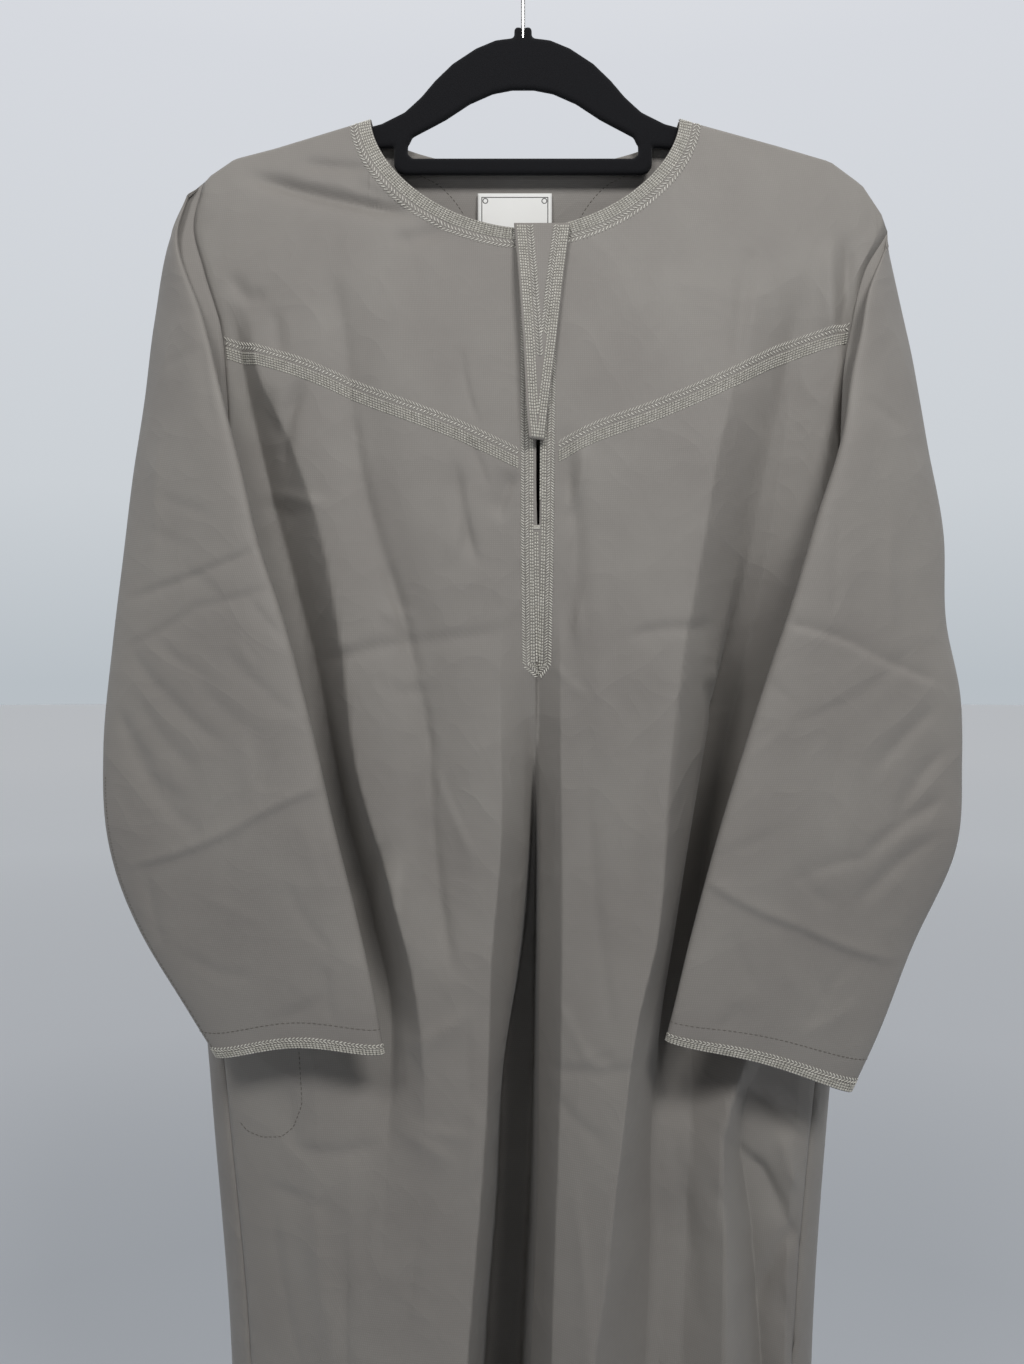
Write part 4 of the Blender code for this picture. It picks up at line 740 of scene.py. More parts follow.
for size, deep in CRUMPLES:
    ridges = add_node(tree, "ShaderNodeTexNoise", {"Vector": flat.outputs["UV"],
                      "Scale": 1 / (size * MM), "Detail": 1.5, "Roughness": 0.4,
                      "Offset": 0.9, "Gain": 1.0, "Distortion": 0.3},
                      noise_type="RIDGED_MULTIFRACTAL", normalize=False)
    faded = add_node(tree, "ShaderNodeMath", {0: ridges.outputs["Fac"],
                                              1: strength.outputs["Fac"]}, operation="MULTIPLY")
    inputs = {"Height": faded.outputs[0], "Strength": 1.0, "Distance": deep * MM}
    if bump:
        inputs["Normal"] = bump.outputs["Normal"]
    bump = add_node(tree, "ShaderNodeBump", inputs)
rumpled = add_node(tree, "ShaderNodeBump", {"Height": weave.outputs[0], "Strength": 0.35,
                   "Distance": THREAD_DEPTH * MM, "Normal": bump.outputs["Normal"]})
tree.links.new(tone.outputs["Color"], shader.inputs["Base Color"])
tree.links.new(rumpled.outputs["Normal"], shader.inputs["Normal"])
shader.inputs["Roughness"].default_value = 0.62
shader.inputs["Specular IOR Level"].default_value = 0.3
shader.inputs["Sheen Weight"].default_value = 0.1
shader.inputs["Sheen Roughness"].default_value = 0.45
front.data.materials.append(taupe)
PANEL_LENGTHS = ("chest", "waist", "hip", "skirt")
fit(front, "cloth", *["front_panel_" + length for length in PANEL_LENGTHS])

# ------------------------------------------------------------------ back panel
# The same weave, cut whole with a shallow neck and joined to the front at the shoulders and
# down both sides, where its edge wraps a little to the front. It falls in three soft folds.
NECK_BACK_DEPTH = 32.0
SIDE_RADIUS = 60.0              # of the body's outline where it turns from front to back
BACK_FROM = 0.05                # sine of the turn from which the back keeps off the front
BACK_SHOULDER_LEFT, BACK_NECK, BACK_SHOULDER_RIGHT = 34, 54, 36     # columns of the back
BACK_FOLDS = {
    "left_valley": (2.0, (
        (330, -70, 0, 24), (700, -96, -10, 26), (1100, -112, -22, 26), (1573, -124, -34, 26))),
    "middle_valley": (2.2, (
        (420, 14, 0, 20), (800, 18, -14, 24), (1200, 10, -28, 24), (1573, 4, -38, 25))),
    "right_valley": (2.0, (
        (360, 90, 0, 24), (760, 104, -12, 26), (1150, 120, -22, 26), (1573, 132, -32, 27))),
}
BACK_CREASES = (
    # pulled between the shoulders
    (-170, 214, -66, 238, -3.0, -4.2, 8, 0.3),
    (176, 222, 84, 240, 3.0, -3.4, 7, 0.3),
    (-60, 262, 70, 268, 4.0, -1.6, 6, 0.4),
    (-206, 300, -168, 352, 2.0, -2.2, 6, 0.4),
    (204, 310, 172, 372, -2.0, -2.4, 6, 0.4),
    # where it lay folded across the waist and the hips
    (-190, 532, -72, 526, 2.0, -1.6, 3.4, 0.9),
    (-70, 527, 36, 533, -1.0, -1.3, 3.4, 0.9),
    (62, 530, 176, 524, 2.0, -1.6, 3.4, 0.9),
    (-176, 824, -40, 818, 2.0, -1.6, 3.6, 0.9),
    (24, 820, 170, 828, 3.0, -1.4, 3.6, 0.9),
    # one pressed line down the middle of each half
    (-122, 300, -108, 500, 3.0, -1.8, 5, 0.8),
    (-112, 560, -128, 800, -3.0, -1.6, 5, 0.8),
    (118, 320, 124, 508, -3.0, -1.8, 5, 0.8),
    (122, 556, 138, 780, 3.0, -1.6, 5, 0.8),
    # slanted pulls and falls
    (-40, 380, -92, 470, 3.0, 1.6, 7, 0.4),
    (44, 392, 96, 486, -3.0, 1.6, 7, 0.4),
    (-150, 610, -96, 700, 4.0, -2.2, 7, 0.4),
    (60, 600, 20, 712, 3.0, 1.6, 8, 0.3),
    (156, 620, 118, 744, -4.0, -2.2, 7, 0.4),
    (-60, 760, -36, 900, 3.0, -1.8, 7, 0.4),
    (70, 770, 52, 930, -3.0, 1.8, 8, 0.3),
    (-180, 860, -132, 940, 3.0, -2.0, 6, 0.5),
    (176, 870, 140, 956, -3.0, -2.0, 6, 0.5),
    (-64, 1010, -56, 1290, 5.0, 3.0, 12, 0.2),
    (66, 1020, 74, 1310, -5.0, 3.0, 12, 0.2),
    (-178, 1080, -170, 1400, 4.0, -3.0, 10, 0.2),
    (182, 1080, 176, 1420, -4.0, -3.0, 10, 0.2),
    (-30, 1240, -44, 1540, 3.0, -2.4, 9, 0.2),
    (44, 1260, 60, 1560, -3.0, -2.4, 9, 0.2),
)


def back_y(across, drop):
    depth, from_edge, from_ridge = body_depth(across, drop, "back_depth")
    creased = from_edge * from_ridge * crease_rise(BACK_CREASES, across, drop)
    return depth + from_edge * fold_rise(BACK_FOLDS, across, drop) + creased


def round_body(turn, drop):
    """Point of the body's outline: turn 0 is the left side, 90 the back, 180 the right."""
    angle = np.radians(turn)
    middle, half = body_span(drop)
    way = np.cos(angle)
    across = middle - half * np.sign(way) * np.abs(way) ** (2 / BODY_SQUARENESS)
    y = np.where(np.sin(angle) < 0, front_y(across, drop), back_y(across, drop))
    return np.stack([across, y, -drop * np.ones_like(y)], axis=-1)


def on_back(turn, drop, lift):
    points = round_body(turn, drop)
    step = NORMAL_STEP
    along = round_body(turn + step, drop) - round_body(turn - step, drop)
    down = round_body(turn, drop + step) - points
    points = points + unit(np.cross(along, down)) * np.asarray(lift)[..., None]
    at_back = np.sin(np.radians(turn)) > BACK_FROM
    points[..., 1] = np.where(at_back, np.maximum(points[..., 1], SEAM_GAP / 2), points[..., 1])
    return points


def turn_at(across, drop):
    """Turn of the back cloth at a place across the body."""
    middle, half = body_span(drop)
    share = np.clip((middle - across) / half, -1.0, 1.0)
    return np.degrees(np.arccos(np.sign(share) * np.abs(share) ** (BODY_SQUARENESS / 2)))


def back_edge_turn(side, drop):
    """Turn at which the back panel ends on one side."""
    armhole = column(ARMHOLE_EDGES, EDGE_COLUMNS, side_name(side) + "_back", drop)
    wrap = column(SIDE_SEAM, SIDE_SEAM_COLUMNS, "turn", drop)
    gap = np.degrees(SEAM_GAP / SIDE_RADIUS)
    below = (gap - wrap) if side < 0 else (180 + wrap - gap)
    return np.where(drop < underarm_drop(side), turn_at(armhole, drop), below)


neck_left, neck_right = NECK_MIDDLE - NECK_HALF_WIDTH, NECK_MIDDLE + NECK_HALF_WIDTH
tips = [float(front_edge(side, SHOULDER_TIPS[side])) for side in (-1, 1)]
back_top = np.concatenate([
    np.linspace(tips[0], neck_left, BACK_SHOULDER_LEFT + 1)[:-1],
    NECK_MIDDLE - NECK_HALF_WIDTH * np.cos(np.linspace(0, np.pi, BACK_NECK + 1)),
    np.linspace(neck_right, tips[1], BACK_SHOULDER_RIGHT + 1)[1:]])
number_back = np.arange(len(back_top))
at_neck = (number_back >= BACK_SHOULDER_LEFT) & (number_back <= BACK_SHOULDER_LEFT + BACK_NECK)
back_top_drop = np.where(at_neck, neck_drop(back_top, NECK_BACK_DEPTH), ridge_drop(back_top))
back_top_drop[0], back_top_drop[-1] = SHOULDER_TIPS[-1], SHOULDER_TIPS[1]


def settled_turn(drop):
    left, right = back_edge_turn(-1, drop), back_edge_turn(1, drop)
    return left + (right - left) * number_back / (len(back_top) - 1)


back_drops = back_top_drop + (HEM_DROP - back_top_drop) * LENGTH_SHARES[:, None]
turns = np.stack([settled_turn(row) for row in back_drops])
turns += (turn_at(back_top, back_top_drop) - settled_turn(back_top_drop)) * from_top
back_lift = seam_lift(back_drops, from_edge=(number_back, len(back_top) - 1 - number_back))
back_outer = on_back(turns, back_drops, back_lift)
back_inner = on_back(turns, back_drops, back_lift - CLOTH)
back = cloth_shell("back_cloth", back_outer, back_inner,
                   laid_flat(back_outer, BACK_SHOULDER_LEFT + BACK_NECK // 2))
back.data.materials.append(taupe)
fit(back, "cloth", *["back_panel_" + length for length in PANEL_LENGTHS])

# ------------------------------------------------------------------ sleeves
# Straight sleeves of the same weave, each one piece folded round the arm and sewn to the
# armhole. They hang pressed flat in front of the body, with pulls from lying folded.
SLEEVE_COLUMNS = ("seam_drop", "fold_across", "fold_drop", "fold_depth",
                  "outer_across", "outer_drop", "outer_depth", "belly", "tuck")
LEFT_SLEEVE = (
    (211, -243, 213, 9, -246, 214, 0, 3, 2),
    (240, -249, 244, 14, -259, 243, 0, 6, 8),
    (290, -226, 308, 32, -270, 300, 0, 10, 14),
    (350, -207, 370, 50, -276, 360, 4, 13, 16),
    (420, -191, 424, 60, -282, 420, 12, 15, 14),
    (485, -177, 477, 66, -286, 478, 20, 16, 8),
    (540, -160, 526, 71, -290, 536, 28, 17, 4),
    (610, -142, 592, 75, -294, 613, 36, 17, 4),
    (680, -126, 660, 78, -287, 679, 44, 17, 4),
    (745, -110, 724, 80, -263, 736, 52, 15, 4),
    (797, -97, 781, 82, -228, 788, 60, 12, 4),
    (822, -92, 810, 82, -208, 819, 62, 11, 4),
)
RIGHT_SLEEVE = (
    (248, 263, 251, 9, 269, 252, 0, 2, 2),
    (288, 244, 291, 27, 279, 298, 0, 6, 5),
    (318, 237, 320, 33, 285, 326, 0, 9, 8),
    (350, 228, 352, 41, 289, 358, 4, 11, 10),
    (382, 220, 390, 50, 293, 392, 8, 13, 12),
    (452, 198, 456, 60, 301, 460, 18, 15, 13),
    (515, 178, 518, 67, 299, 525, 28, 16, 11),
    (560, 165, 555, 69, 306, 573, 34, 17, 4),
    (612, 148, 606, 72, 305, 624, 40, 17, 4),
    (680, 128, 669, 76, 297, 682, 48, 17, 4),
    (748, 110, 735, 78, 264, 747, 56, 15, 4),
    (806, 98, 783, 80, 236, 809, 64, 12, 4),
    (832, 93, 802, 80, 220, 841, 66, 11, 4),
)
LEFT_CREASES = (
    # lines across it from lying folded
    (-271, 506, -177, 476, 2.1, -1.7, 2.4, 0.9),
    (-270, 539, -220, 514, 2.1, -1.5, 2.8, 0.8),
    (-224, 515, -170, 503, 1.4, -1.2, 2.8, 0.8),
    (-266, 690, -188, 661, 2.8, 2.1, 2.6, -0.9),
    (-191, 663, -133, 635, -2.1, 2.1, 2.6, -0.9),
    # slanted pulls
    (-250, 437, -213, 451, 0.7, -0.9, 2.4, 0.7),
    (-262, 458, -229, 471, 1.4, -0.8, 3, 0.6),
    (-268, 545, -240, 574, 1.4, -1.4, 3, 0.8),
    (-247, 538, -205, 567, 1.4, -1.1, 3, 0.7),
    (-243, 570, -200, 605, 2.1, -1.5, 3, 0.9),
    (-216, 568, -168, 605, 1.4, -1, 3, 0.7),
    (-196, 546, -148, 588, 2.1, -1.1, 3, 0.7),
    (-277, 588, -251, 622, 1.4, -2.2, 5, 0.6),
    (-274, 606, -227, 646, 2.1, -2, 4.5, 0.7),
    (-262, 578, -219, 623, 2.1, -1.3, 3.4, 0.8),
    (-261, 622, -218, 664, 2.1, -1.2, 3.6, 0.7),
    (-181, 511, -156, 539, 0.7, -1, 2.4, 0.8),
    (-191, 535, -177, 556, 0.7, 1, 2.4, 0.7),
    (-232, 485, -194, 511, 1.4, -0.7, 3, 0.6),
    (-184, 596, -179, 638, 1.4, 1, 3.4, 0.6),
    (-162, 612, -172, 638, 0.7, -1, 2.6, 0.7),
    # towards the cuff
    (-191, 668, -195, 699, 0.7, -0.9, 3, 0.6),
    (-156, 699, -125, 748, 2.1, -1.1, 3.2, 0.7),
    (-118, 698, -101, 748, 1.4, -1, 3.2, 0.6),
    (-230, 746, -178, 764, 2.1, -1, 3.6, 0.6),
    (-162, 795, -132, 777, 1.4, -1.1, 2.6, 0.8),
    (-129, 757, -125, 792, 0.7, -1.2, 2.6, 0.8),
    (-254, 695, -244, 741, 1.4, -1.6, 5, 0.4),
    (-213, 708, -171, 728, -2.1, 0.8, 4, 0.5),
    (-147, 656, -130, 708, -1.4, 0.9, 5, 0.4),
    # soft marks on the upper arm
    (-254, 389, -254, 485, 1.4, 1.2, 7, 0.3),
    (-225, 324, -209, 396, 1.4, -1, 6, 0.4),
    (-258, 340, -218, 330, 1.4, -0.8, 2.4, 0.8),
)
RIGHT_CREASES = (
    (173, 527, 227, 543, -1.4, -2.2, 2.6, -0.9),
    (223, 542, 286, 567, 1.4, -2.4, 3, -0.9),
    (116, 695, 180, 728, 2.1, 2.1, 2.6, -0.9),
    (176, 725, 248, 753, 2.1, 2.1, 2.8, -0.9),
    (229, 366, 268, 386, -0.7, -1, 2.4, 0.8),
    # slanted pulls from the front fold and from the outer edge
    (139, 621, 176, 591, 1.4, 1, 3, 0.8),
    (173, 592, 222, 575, 1.4, -0.9, 3, 0.7),
    (120, 663, 156, 635, 1.4, 1, 3, 0.7),
    (116, 683, 170, 661, 1.4, -0.9, 3.4, 0.6),
    (287, 614, 249, 660, 2.8, -2.6, 5.5, 0.5),
    (282, 585, 237, 625, 2.1, -2, 5, 0.6),
    (284, 647, 227, 683, 2.8, -2.6, 5.5, 0.6),
    (276, 673, 223, 713, 2.8, -2.2, 5, 0.5),
    (227, 683, 184, 693, 1.4, -1.6, 4, 0.6),
    (180, 687, 202, 713, 2.1, -1.4, 4, 0.6),
    # towards the cuff
    (188, 726, 196, 775, 1.4, -1.6, 4.5, 0.6),
    (164, 731, 180, 773, 1.4, 1.1, 4, 0.5),
    (137, 733, 155, 773, 1.4, -1, 4, 0.5),
    (126, 795, 142, 779, 0.7, -1, 2.6, 0.8),
    (183, 799, 221, 777, 1.4, 1.2, 3, 0.7),
    (219, 750, 187, 796, 2.1, -1.2, 4, 0.5),
    # soft marks
    (212, 455, 208, 526, 0.0, -1, 5, 0.5),
    (252, 458, 251, 538, 1.4, 1.2, 6, 0.4),
    (141, 571, 178, 551, 1.4, 0.8, 3, 0.7),
    (150, 556, 179, 579, -0.7, -0.8, 2.6, 0.7),
    (222, 578, 277, 538, -2.1, -1.2, 5, 0.4),
    (240, 396, 251, 458, 1.4, -1, 6, 0.3),
    (211, 604, 208, 669, 2.1, -1, 6, 0.4),
)
# The hidden faces of both sleeves, given from the armhole's side outwards.
BEHIND_CREASES = (
    (150, 600, 230, 622, 2.0, 1.8, 3, 0.8),
    (226, 624, 286, 600, -2.0, 1.6, 3, 0.8),
    (276, 470, 236, 512, 2.0, -1.6, 5, 0.6),
    (284, 520, 240, 556, 2.0, -1.4, 5, 0.6),
    (190, 470, 214, 530, -2.0, -1.2, 5, 0.4),
    (270, 660, 222, 690, 2.0, -1.6, 5, 0.6),
    (160, 690, 190, 738, 2.0, -1.2, 4, 0.6),
    (250, 700, 226, 752, 2.0, -1.2, 5, 0.5),
)
TUCK_STEPS = 16                 # columns from the armhole seam to the front fold
FACE_STEPS = 68                 # columns across each face
ROWS_BELOW_UNDERARM = 130
BACK_FACE_SHARE = 0.55          # how far the back face stands out, as a share of the front's
TUCK_OUT, TUCK_IN = 1.5, 1.2    # shares of the tuck by which it leaves the seam, and the fold
TUCK_FORWARD, TUCK_LEAN, FOLD_ROUND = 0.5, 4.0, 2.0
FACE_ROUND, BEHIND_ROUND = 0.8, 1.8     # powers that round the faces: lower is fuller
CREASES_REACH = 0.5             # the same for how near its edges a face is creased
BODY_MARGIN = 2.0
ARMHOLE_GAP = 0.15
UNDERARM_GAP = 1.2
SLEEVE_CLEARANCE = 4.5
SEAM_SETTLE = 58.0
SEAM_FORWARD = 56.0
SEAM_IN = 14.0
SEAM_BEHIND = 9.0
CUFF_ARCH = {-1: 8.0, 1: 5.0}   # how far the middle of a cuff's edge is drawn up
CUFF_ARCH_ROWS, CUFF_ARCH_POWER = 60, 1.5


def sleeve_section(table, creases, side, seam_drop, front_seam, back_seam):
    """One section of a sleeve, from the front seam, round by its outer edge, to the back."""
    def value(name):
        return float(column(table, SLEEVE_COLUMNS, name, seam_drop))
    fold = np.array([value("fold_across"), -value("fold_depth"), -value("fold_drop")])
    edge = np.array([value("outer_across"), -value("outer_depth"), -value("outer_drop")])
    belly, tuck = value("belly"), value("tuck")
    first = front_seam + np.array([side * tuck * TUCK_OUT, -TUCK_FORWARD, 0.0])
    second = fold + np.array([side * (tuck * TUCK_IN + FOLD_ROUND), TUCK_LEAN, 0.0])
    t = np.linspace(0, 1, TUCK_STEPS + 1)[:, None]
    under = ((1 - t) ** 3 * front_seam + 3 * (1 - t) ** 2 * t * first
             + 3 * (1 - t) * t ** 2 * second + t ** 3 * fold)
    angle = np.linspace(0, np.pi, FACE_STEPS + 1)
    share = ((1 - np.cos(angle)) / 2)[:, None]
    fade = np.sin(angle) ** CREASES_REACH
    face = fold + (edge - fold) * share
    face[:, 1] -= (belly * np.sin(angle) ** FACE_ROUND
                   + fade * crease_rise(creases, face[:, 0], -face[:, 2]))
    behind = edge + (back_seam - edge) * share
    behind[:, 1] += (BACK_FACE_SHARE * belly * np.sin(angle) ** BEHIND_ROUND
                     + fade * crease_rise(BEHIND_CREASES, side * behind[:, 0], -behind[:, 2]))
    return np.concatenate([under[:-1], face[:-1], behind])


def clear_of_body(points, seam_drop, side):
    """Sleeve cloth at and below the underarm, kept in front of the body."""
    drop = -points[:, 2]
    middle, half = body_span(drop)
    over_body = np.abs(points[:, 0] - middle) < half + BODY_MARGIN
    if seam_drop < underarm_drop(side) + 1.0:
        over_body[[0, -1]] = False
    limit = front_y(points[:, 0], drop) - SLEEVE_CLEARANCE
    points[:, 1] = np.where(over_body, np.minimum(points[:, 1], limit), points[:, 1])
    return points


def armhole_seam(outer, inner, side):
    """Edge of a sleeve along one panel's armhole, and the panel's normals there."""
    edge, beside = (0, 1) if side < 0 else (-1, -2)
    normal = (outer[:, edge] - inner[:, edge]) / CLOTH
    away = outer[:, edge] - outer[:, beside]
    away -= normal * np.sum(away * normal, axis=-1, keepdims=True)
    away[:, 2] = 0.0
    return outer[:, edge] + unit(away) * ARMHOLE_GAP, normal


def over_shoulder(front_side, back_side, columns):
    """Values over the roll of the shoulder, from the front panel to the back panel."""
    arch = np.concatenate([front_side[ROLL_ROW::-1], back_side[:ROLL_ROW + 1]])
    at = np.linspace(0, len(arch) - 1, columns)
    return np.stack([np.interp(at, np.arange(len(arch)), arch[:, k]) for k in range(3)], axis=-1)


def sleeve_grid(table, creases, side):
    """Outer points of a sleeve and their normals: rows down the arm, columns round it."""
    front_seam, front_normal = armhole_seam(front_outer, front_inner, side)
    back_seam, back_normal = armhole_seam(back_outer, back_inner, side)
    columns = TUCK_STEPS + 2 * FACE_STEPS + 1
    rows = [over_shoulder(front_seam, back_seam, columns)]
    for row in range(ROLL_ROW + 1, UNDERARM_ROW + 1):
        start, end = front_seam[row], back_seam[row]
        seam_drop = -start[2]
        if row == UNDERARM_ROW:
            start = end = (start + end) / 2 + np.array([side * UNDERARM_GAP, 0.0, 0.0])
        section = sleeve_section(table, creases, side, seam_drop, start, end)
        rows.append(clear_of_body(section, seam_drop, side) if row == UNDERARM_ROW else section)
    underarm, underarm_at = rows[-1][0], underarm_drop(side)
    for seam_drop in np.linspace(underarm_at, table[-1][0], ROWS_BELOW_UNDERARM + 1)[1:]:
        fold = [float(column(table, SLEEVE_COLUMNS, name, seam_drop))
                for name in ("fold_across", "fold_depth", "fold_drop")]
        settled = np.array([fold[0] + side * SEAM_IN, SEAM_BEHIND - fold[1], -fold[2]])
        share = min((seam_drop - underarm_at) / SEAM_SETTLE, 1.0)
        seam = underarm + (settled - underarm) * np.array([share ** 3, share, share])
        seam[1] -= SEAM_FORWARD * share * (1 - share)
        section = sleeve_section(table, creases, side, float(seam_drop), seam, seam)
        rows.append(clear_of_body(section, seam_drop, side))
    outer = np.array(rows)
    to_cuff = ease((np.arange(len(rows)) - len(rows)) / CUFF_ARCH_ROWS + 1)[:, None]
    share = (outer[..., 0] - outer[-1, TUCK_STEPS, 0]) / np.ptp(outer[-1, :, 0]) * side
    arch = np.sin(np.pi * np.clip(share, 0, 1)) ** CUFF_ARCH_POWER
    outer[..., 2] += CUFF_ARCH[side] * to_cuff * arch
    normal = unit(np.cross(np.gradient(outer, axis=0), np.gradient(outer, axis=1)) * side)
    joined = UNDERARM_ROW - ROLL_ROW
    normal[1:joined, 0] = front_normal[ROLL_ROW + 1:UNDERARM_ROW]
    normal[1:joined, -1] = back_normal[ROLL_ROW + 1:UNDERARM_ROW]
    normal[0] = over_shoulder(front_normal, back_normal, columns)
    at_seam = normal[joined:, 0] + normal[joined:, -1]
    at_seam[0] = (0.0, 0.0, -1.0)
    normal[joined:, 0] = normal[joined:, -1] = unit(at_seam)
    return outer, normal


sleeve_grids = {}
for name, table, creases, side in (("sleeve_left", LEFT_SLEEVE, LEFT_CREASES, -1),
                                   ("sleeve_right", RIGHT_SLEEVE, RIGHT_CREASES, 1)):
    outer, normal = sleeve_grid(table, creases, side)
    sleeve = cloth_shell(name + "_cloth", outer, outer - normal * CLOTH,
                         laid_flat(outer, TUCK_STEPS), joined_from=UNDERARM_ROW - ROLL_ROW)
    sleeve.data.materials.append(taupe)
    fit(sleeve, "cloth", *[f"{name}_{length}" for length in ("head", "arm", "end")])
    sleeve_grids[name] = outer, normal

# ------------------------------------------------------------------ pocket bags
# Flat bags of the same cloth, each folded and sewn round, that hang inside the side seams
# behind the front panel.
POCKETS = {     # side, top and bottom drop, and how far it reaches inwards
    "pocket_bag_left": (-1, 668.0, 880.0, 58.0),
    "pocket_bag_right": (1, 800.0, 1010.0, 62.0),
}
POCKET_ROUNDING = 0.55
POCKET_SEAM_ALLOWANCE = 12.0
POCKET_LIFT = -2.9
POCKET_ROWS, POCKET_COLUMNS = 54, 18

pocket_bags = []
for name, (side, top_at, bottom_at, reach) in POCKETS.items():
    bag_drops = np.linspace(top_at, bottom_at, POCKET_ROWS)
    middle, half = (top_at + bottom_at) / 2, (bottom_at - top_at) / 2
    rounded = 1.0 - POCKET_ROUNDING * np.abs((bag_drops - middle) / half) ** 6
    edge = front_edge(side, bag_drops) - side * POCKET_SEAM_ALLOWANCE
    inwards = rounded[:, None] * np.linspace(0, 1, POCKET_COLUMNS)
    bag_across = edge[:, None] - side * reach * inwards
    bag_drop = np.repeat(bag_drops[:, None], POCKET_COLUMNS, axis=1)
    bag_outer, bag_inner = [on_front(bag_across, bag_drop, lift)
                            for lift in (POCKET_LIFT, POCKET_LIFT - CLOTH)]
    bag = cloth_shell(name + "_cloth", bag_outer, bag_inner, laid_flat(bag_outer, 0))
    bag.data.materials.append(taupe)
    fit(bag, "cloth", name)
    pocket_bags.append(bag)

# ------------------------------------------------------------------ neck bands
# Rows of chain stitch and one row of chevrons in shiny viscose thread, machine embroidered
# through the strip that faces the neck edge. The thread is paler than the cloth.
BAND_EXTRA_BEHIND = 0.6
TANGENT_STEP = 1.2
CHAIN_PITCH = 2.2
CHEVRON_PITCH = 2.6
CHAIN_ROWS = (1.0, 2.5, 4.0, 5.5, 7.0, 8.5)
CHEVRON_ROW = 12.9
CHEVRON_REACH = 3.2
THREAD_HALF_WIDTH = 0.32
CHEVRON_HALF_WIDTH = 0.45
CHAIN_OPEN = 0.35               # how far a link's two legs bow apart
LINK_OVERLAP = 0.12             # share of a link that lies in the next one
CHEVRON_OVERLAP = 0.1
STITCH_BASE = 0.05
STITCH_HEIGHT = 0.6
THREAD_RINGS = ((0.22, 1.0), (0.7, 0.9))    # places along a thread and its width there
THREAD_CROWN = ((-1, 0.15), (0, 1.0), (1, 0.15))    # across a thread, and its height there
TIP_HEIGHT = 0.3


def square_to(way):
    """Unit steps to the side of flat ways."""
    return unit(np.stack([-way[:, 1], way[:, 0]], axis=-1))


def threads(starts, ends, bow, half_width=THREAD_HALF_WIDTH, base=STITCH_BASE,
            height=STITCH_HEIGHT):
    """Spindles of thread in a band's own flat measures: along, width and lift."""
    starts, ends = np.asarray(starts, dtype=float), np.asarray(ends, dtype=float)
    way = ends - starts
    sideways = square_to(way)
    bowed = sideways * np.reshape(bow, (-1, 1)) * 4
    tip_lift = np.full((len(starts), 1), base + TIP_HEIGHT * height)
    points = [np.hstack([starts, tip_lift])]
    for share, full in THREAD_RINGS:
        middle = starts + way * share + bowed * share * (1 - share)
        for edge, high in THREAD_CROWN:
            lift = np.full((len(starts), 1), base + height * high * full)
            points.append(np.hstack([middle + sideways * edge * half_width * full, lift]))
    points.append(np.hstack([ends, tip_lift]))
    return np.stack(points, axis=1)


def spindle_faces():
    """Faces of one spindle: a tip, its rings of three points, and a tip."""
    last_ring = 1 + 3 * (len(THREAD_RINGS) - 1)
    end = last_ring + 3
    faces = []
    for k in range(3):
        after = (k + 1) % 3
        faces.append((0, 1 + k, 1 + after, 1 + after))
        faces += [(1 + r + k, 4 + r + k, 4 + r + after, 1 + r + after)
                  for r in range(0, last_ring - 1, 3)]
        faces.append((last_ring + k, end, last_ring + after, last_ring + after))
    return np.array(faces)


def along_route(route, pitch):
    """Starts and ends of even steps of about one pitch along a line of flat measures."""
    route = np.asarray(route, dtype=float)
    run = np.concatenate([[0.0], np.cumsum(np.linalg.norm(np.diff(route, axis=0), axis=1))])
    count = max(int(round(run[-1] / pitch)), 1)
    at = np.linspace(0, run[-1], count + 1)
    points = np.stack([np.interp(at, run, route[:, k]) for k in (0, 1)], axis=-1)
    return points[:-1], points[1:]


def chain_row(route, pitch=CHAIN_PITCH):
    """A row of chain stitch: two bowed legs a link."""
    starts, ends = along_route(route, pitch)
    ends = ends + (ends - starts) * LINK_OVERLAP
    both = [np.concatenate([v, v]) for v in (starts, ends)]
    bow = np.repeat([CHAIN_OPEN, -CHAIN_OPEN], len(starts))
    return threads(*both, bow)


def chevron_row(route, reach=CHEVRON_REACH, pitch=CHEVRON_PITCH):
    """A row of chevrons: two straight legs that slant back from the line."""
    starts, ends = along_route(route, pitch)
    sideways = square_to(ends - starts) * reach
    over = (ends - starts) * CHEVRON_OVERLAP
    heads = np.concatenate([ends + over, ends + over])
    tails = np.concatenate([starts - over + sideways, starts - over - sideways])
    return threads(heads, tails, 0.0, half_width=CHEVRON_HALF_WIDTH)


def embroidered(name, place, stitches, finish=None):
    """Stitches laid by their place along, width and lift, joined into one mesh."""
    flat = np.concatenate(stitches)
    spindles = place(flat[..., 0], flat[..., 1], flat[..., 2])
    faces = spindle_faces() + np.arange(len(spindles))[:, None, None] * spindles.shape[1]
    faces = [tuple(dict.fromkeys(face)) for face in faces.reshape(-1, 4).tolist()]
    piece = closed_piece(name, (spindles.reshape(-1, 3) * MM).tolist(), faces)
    piece.data.materials.append(finish or viscose)
    return piece


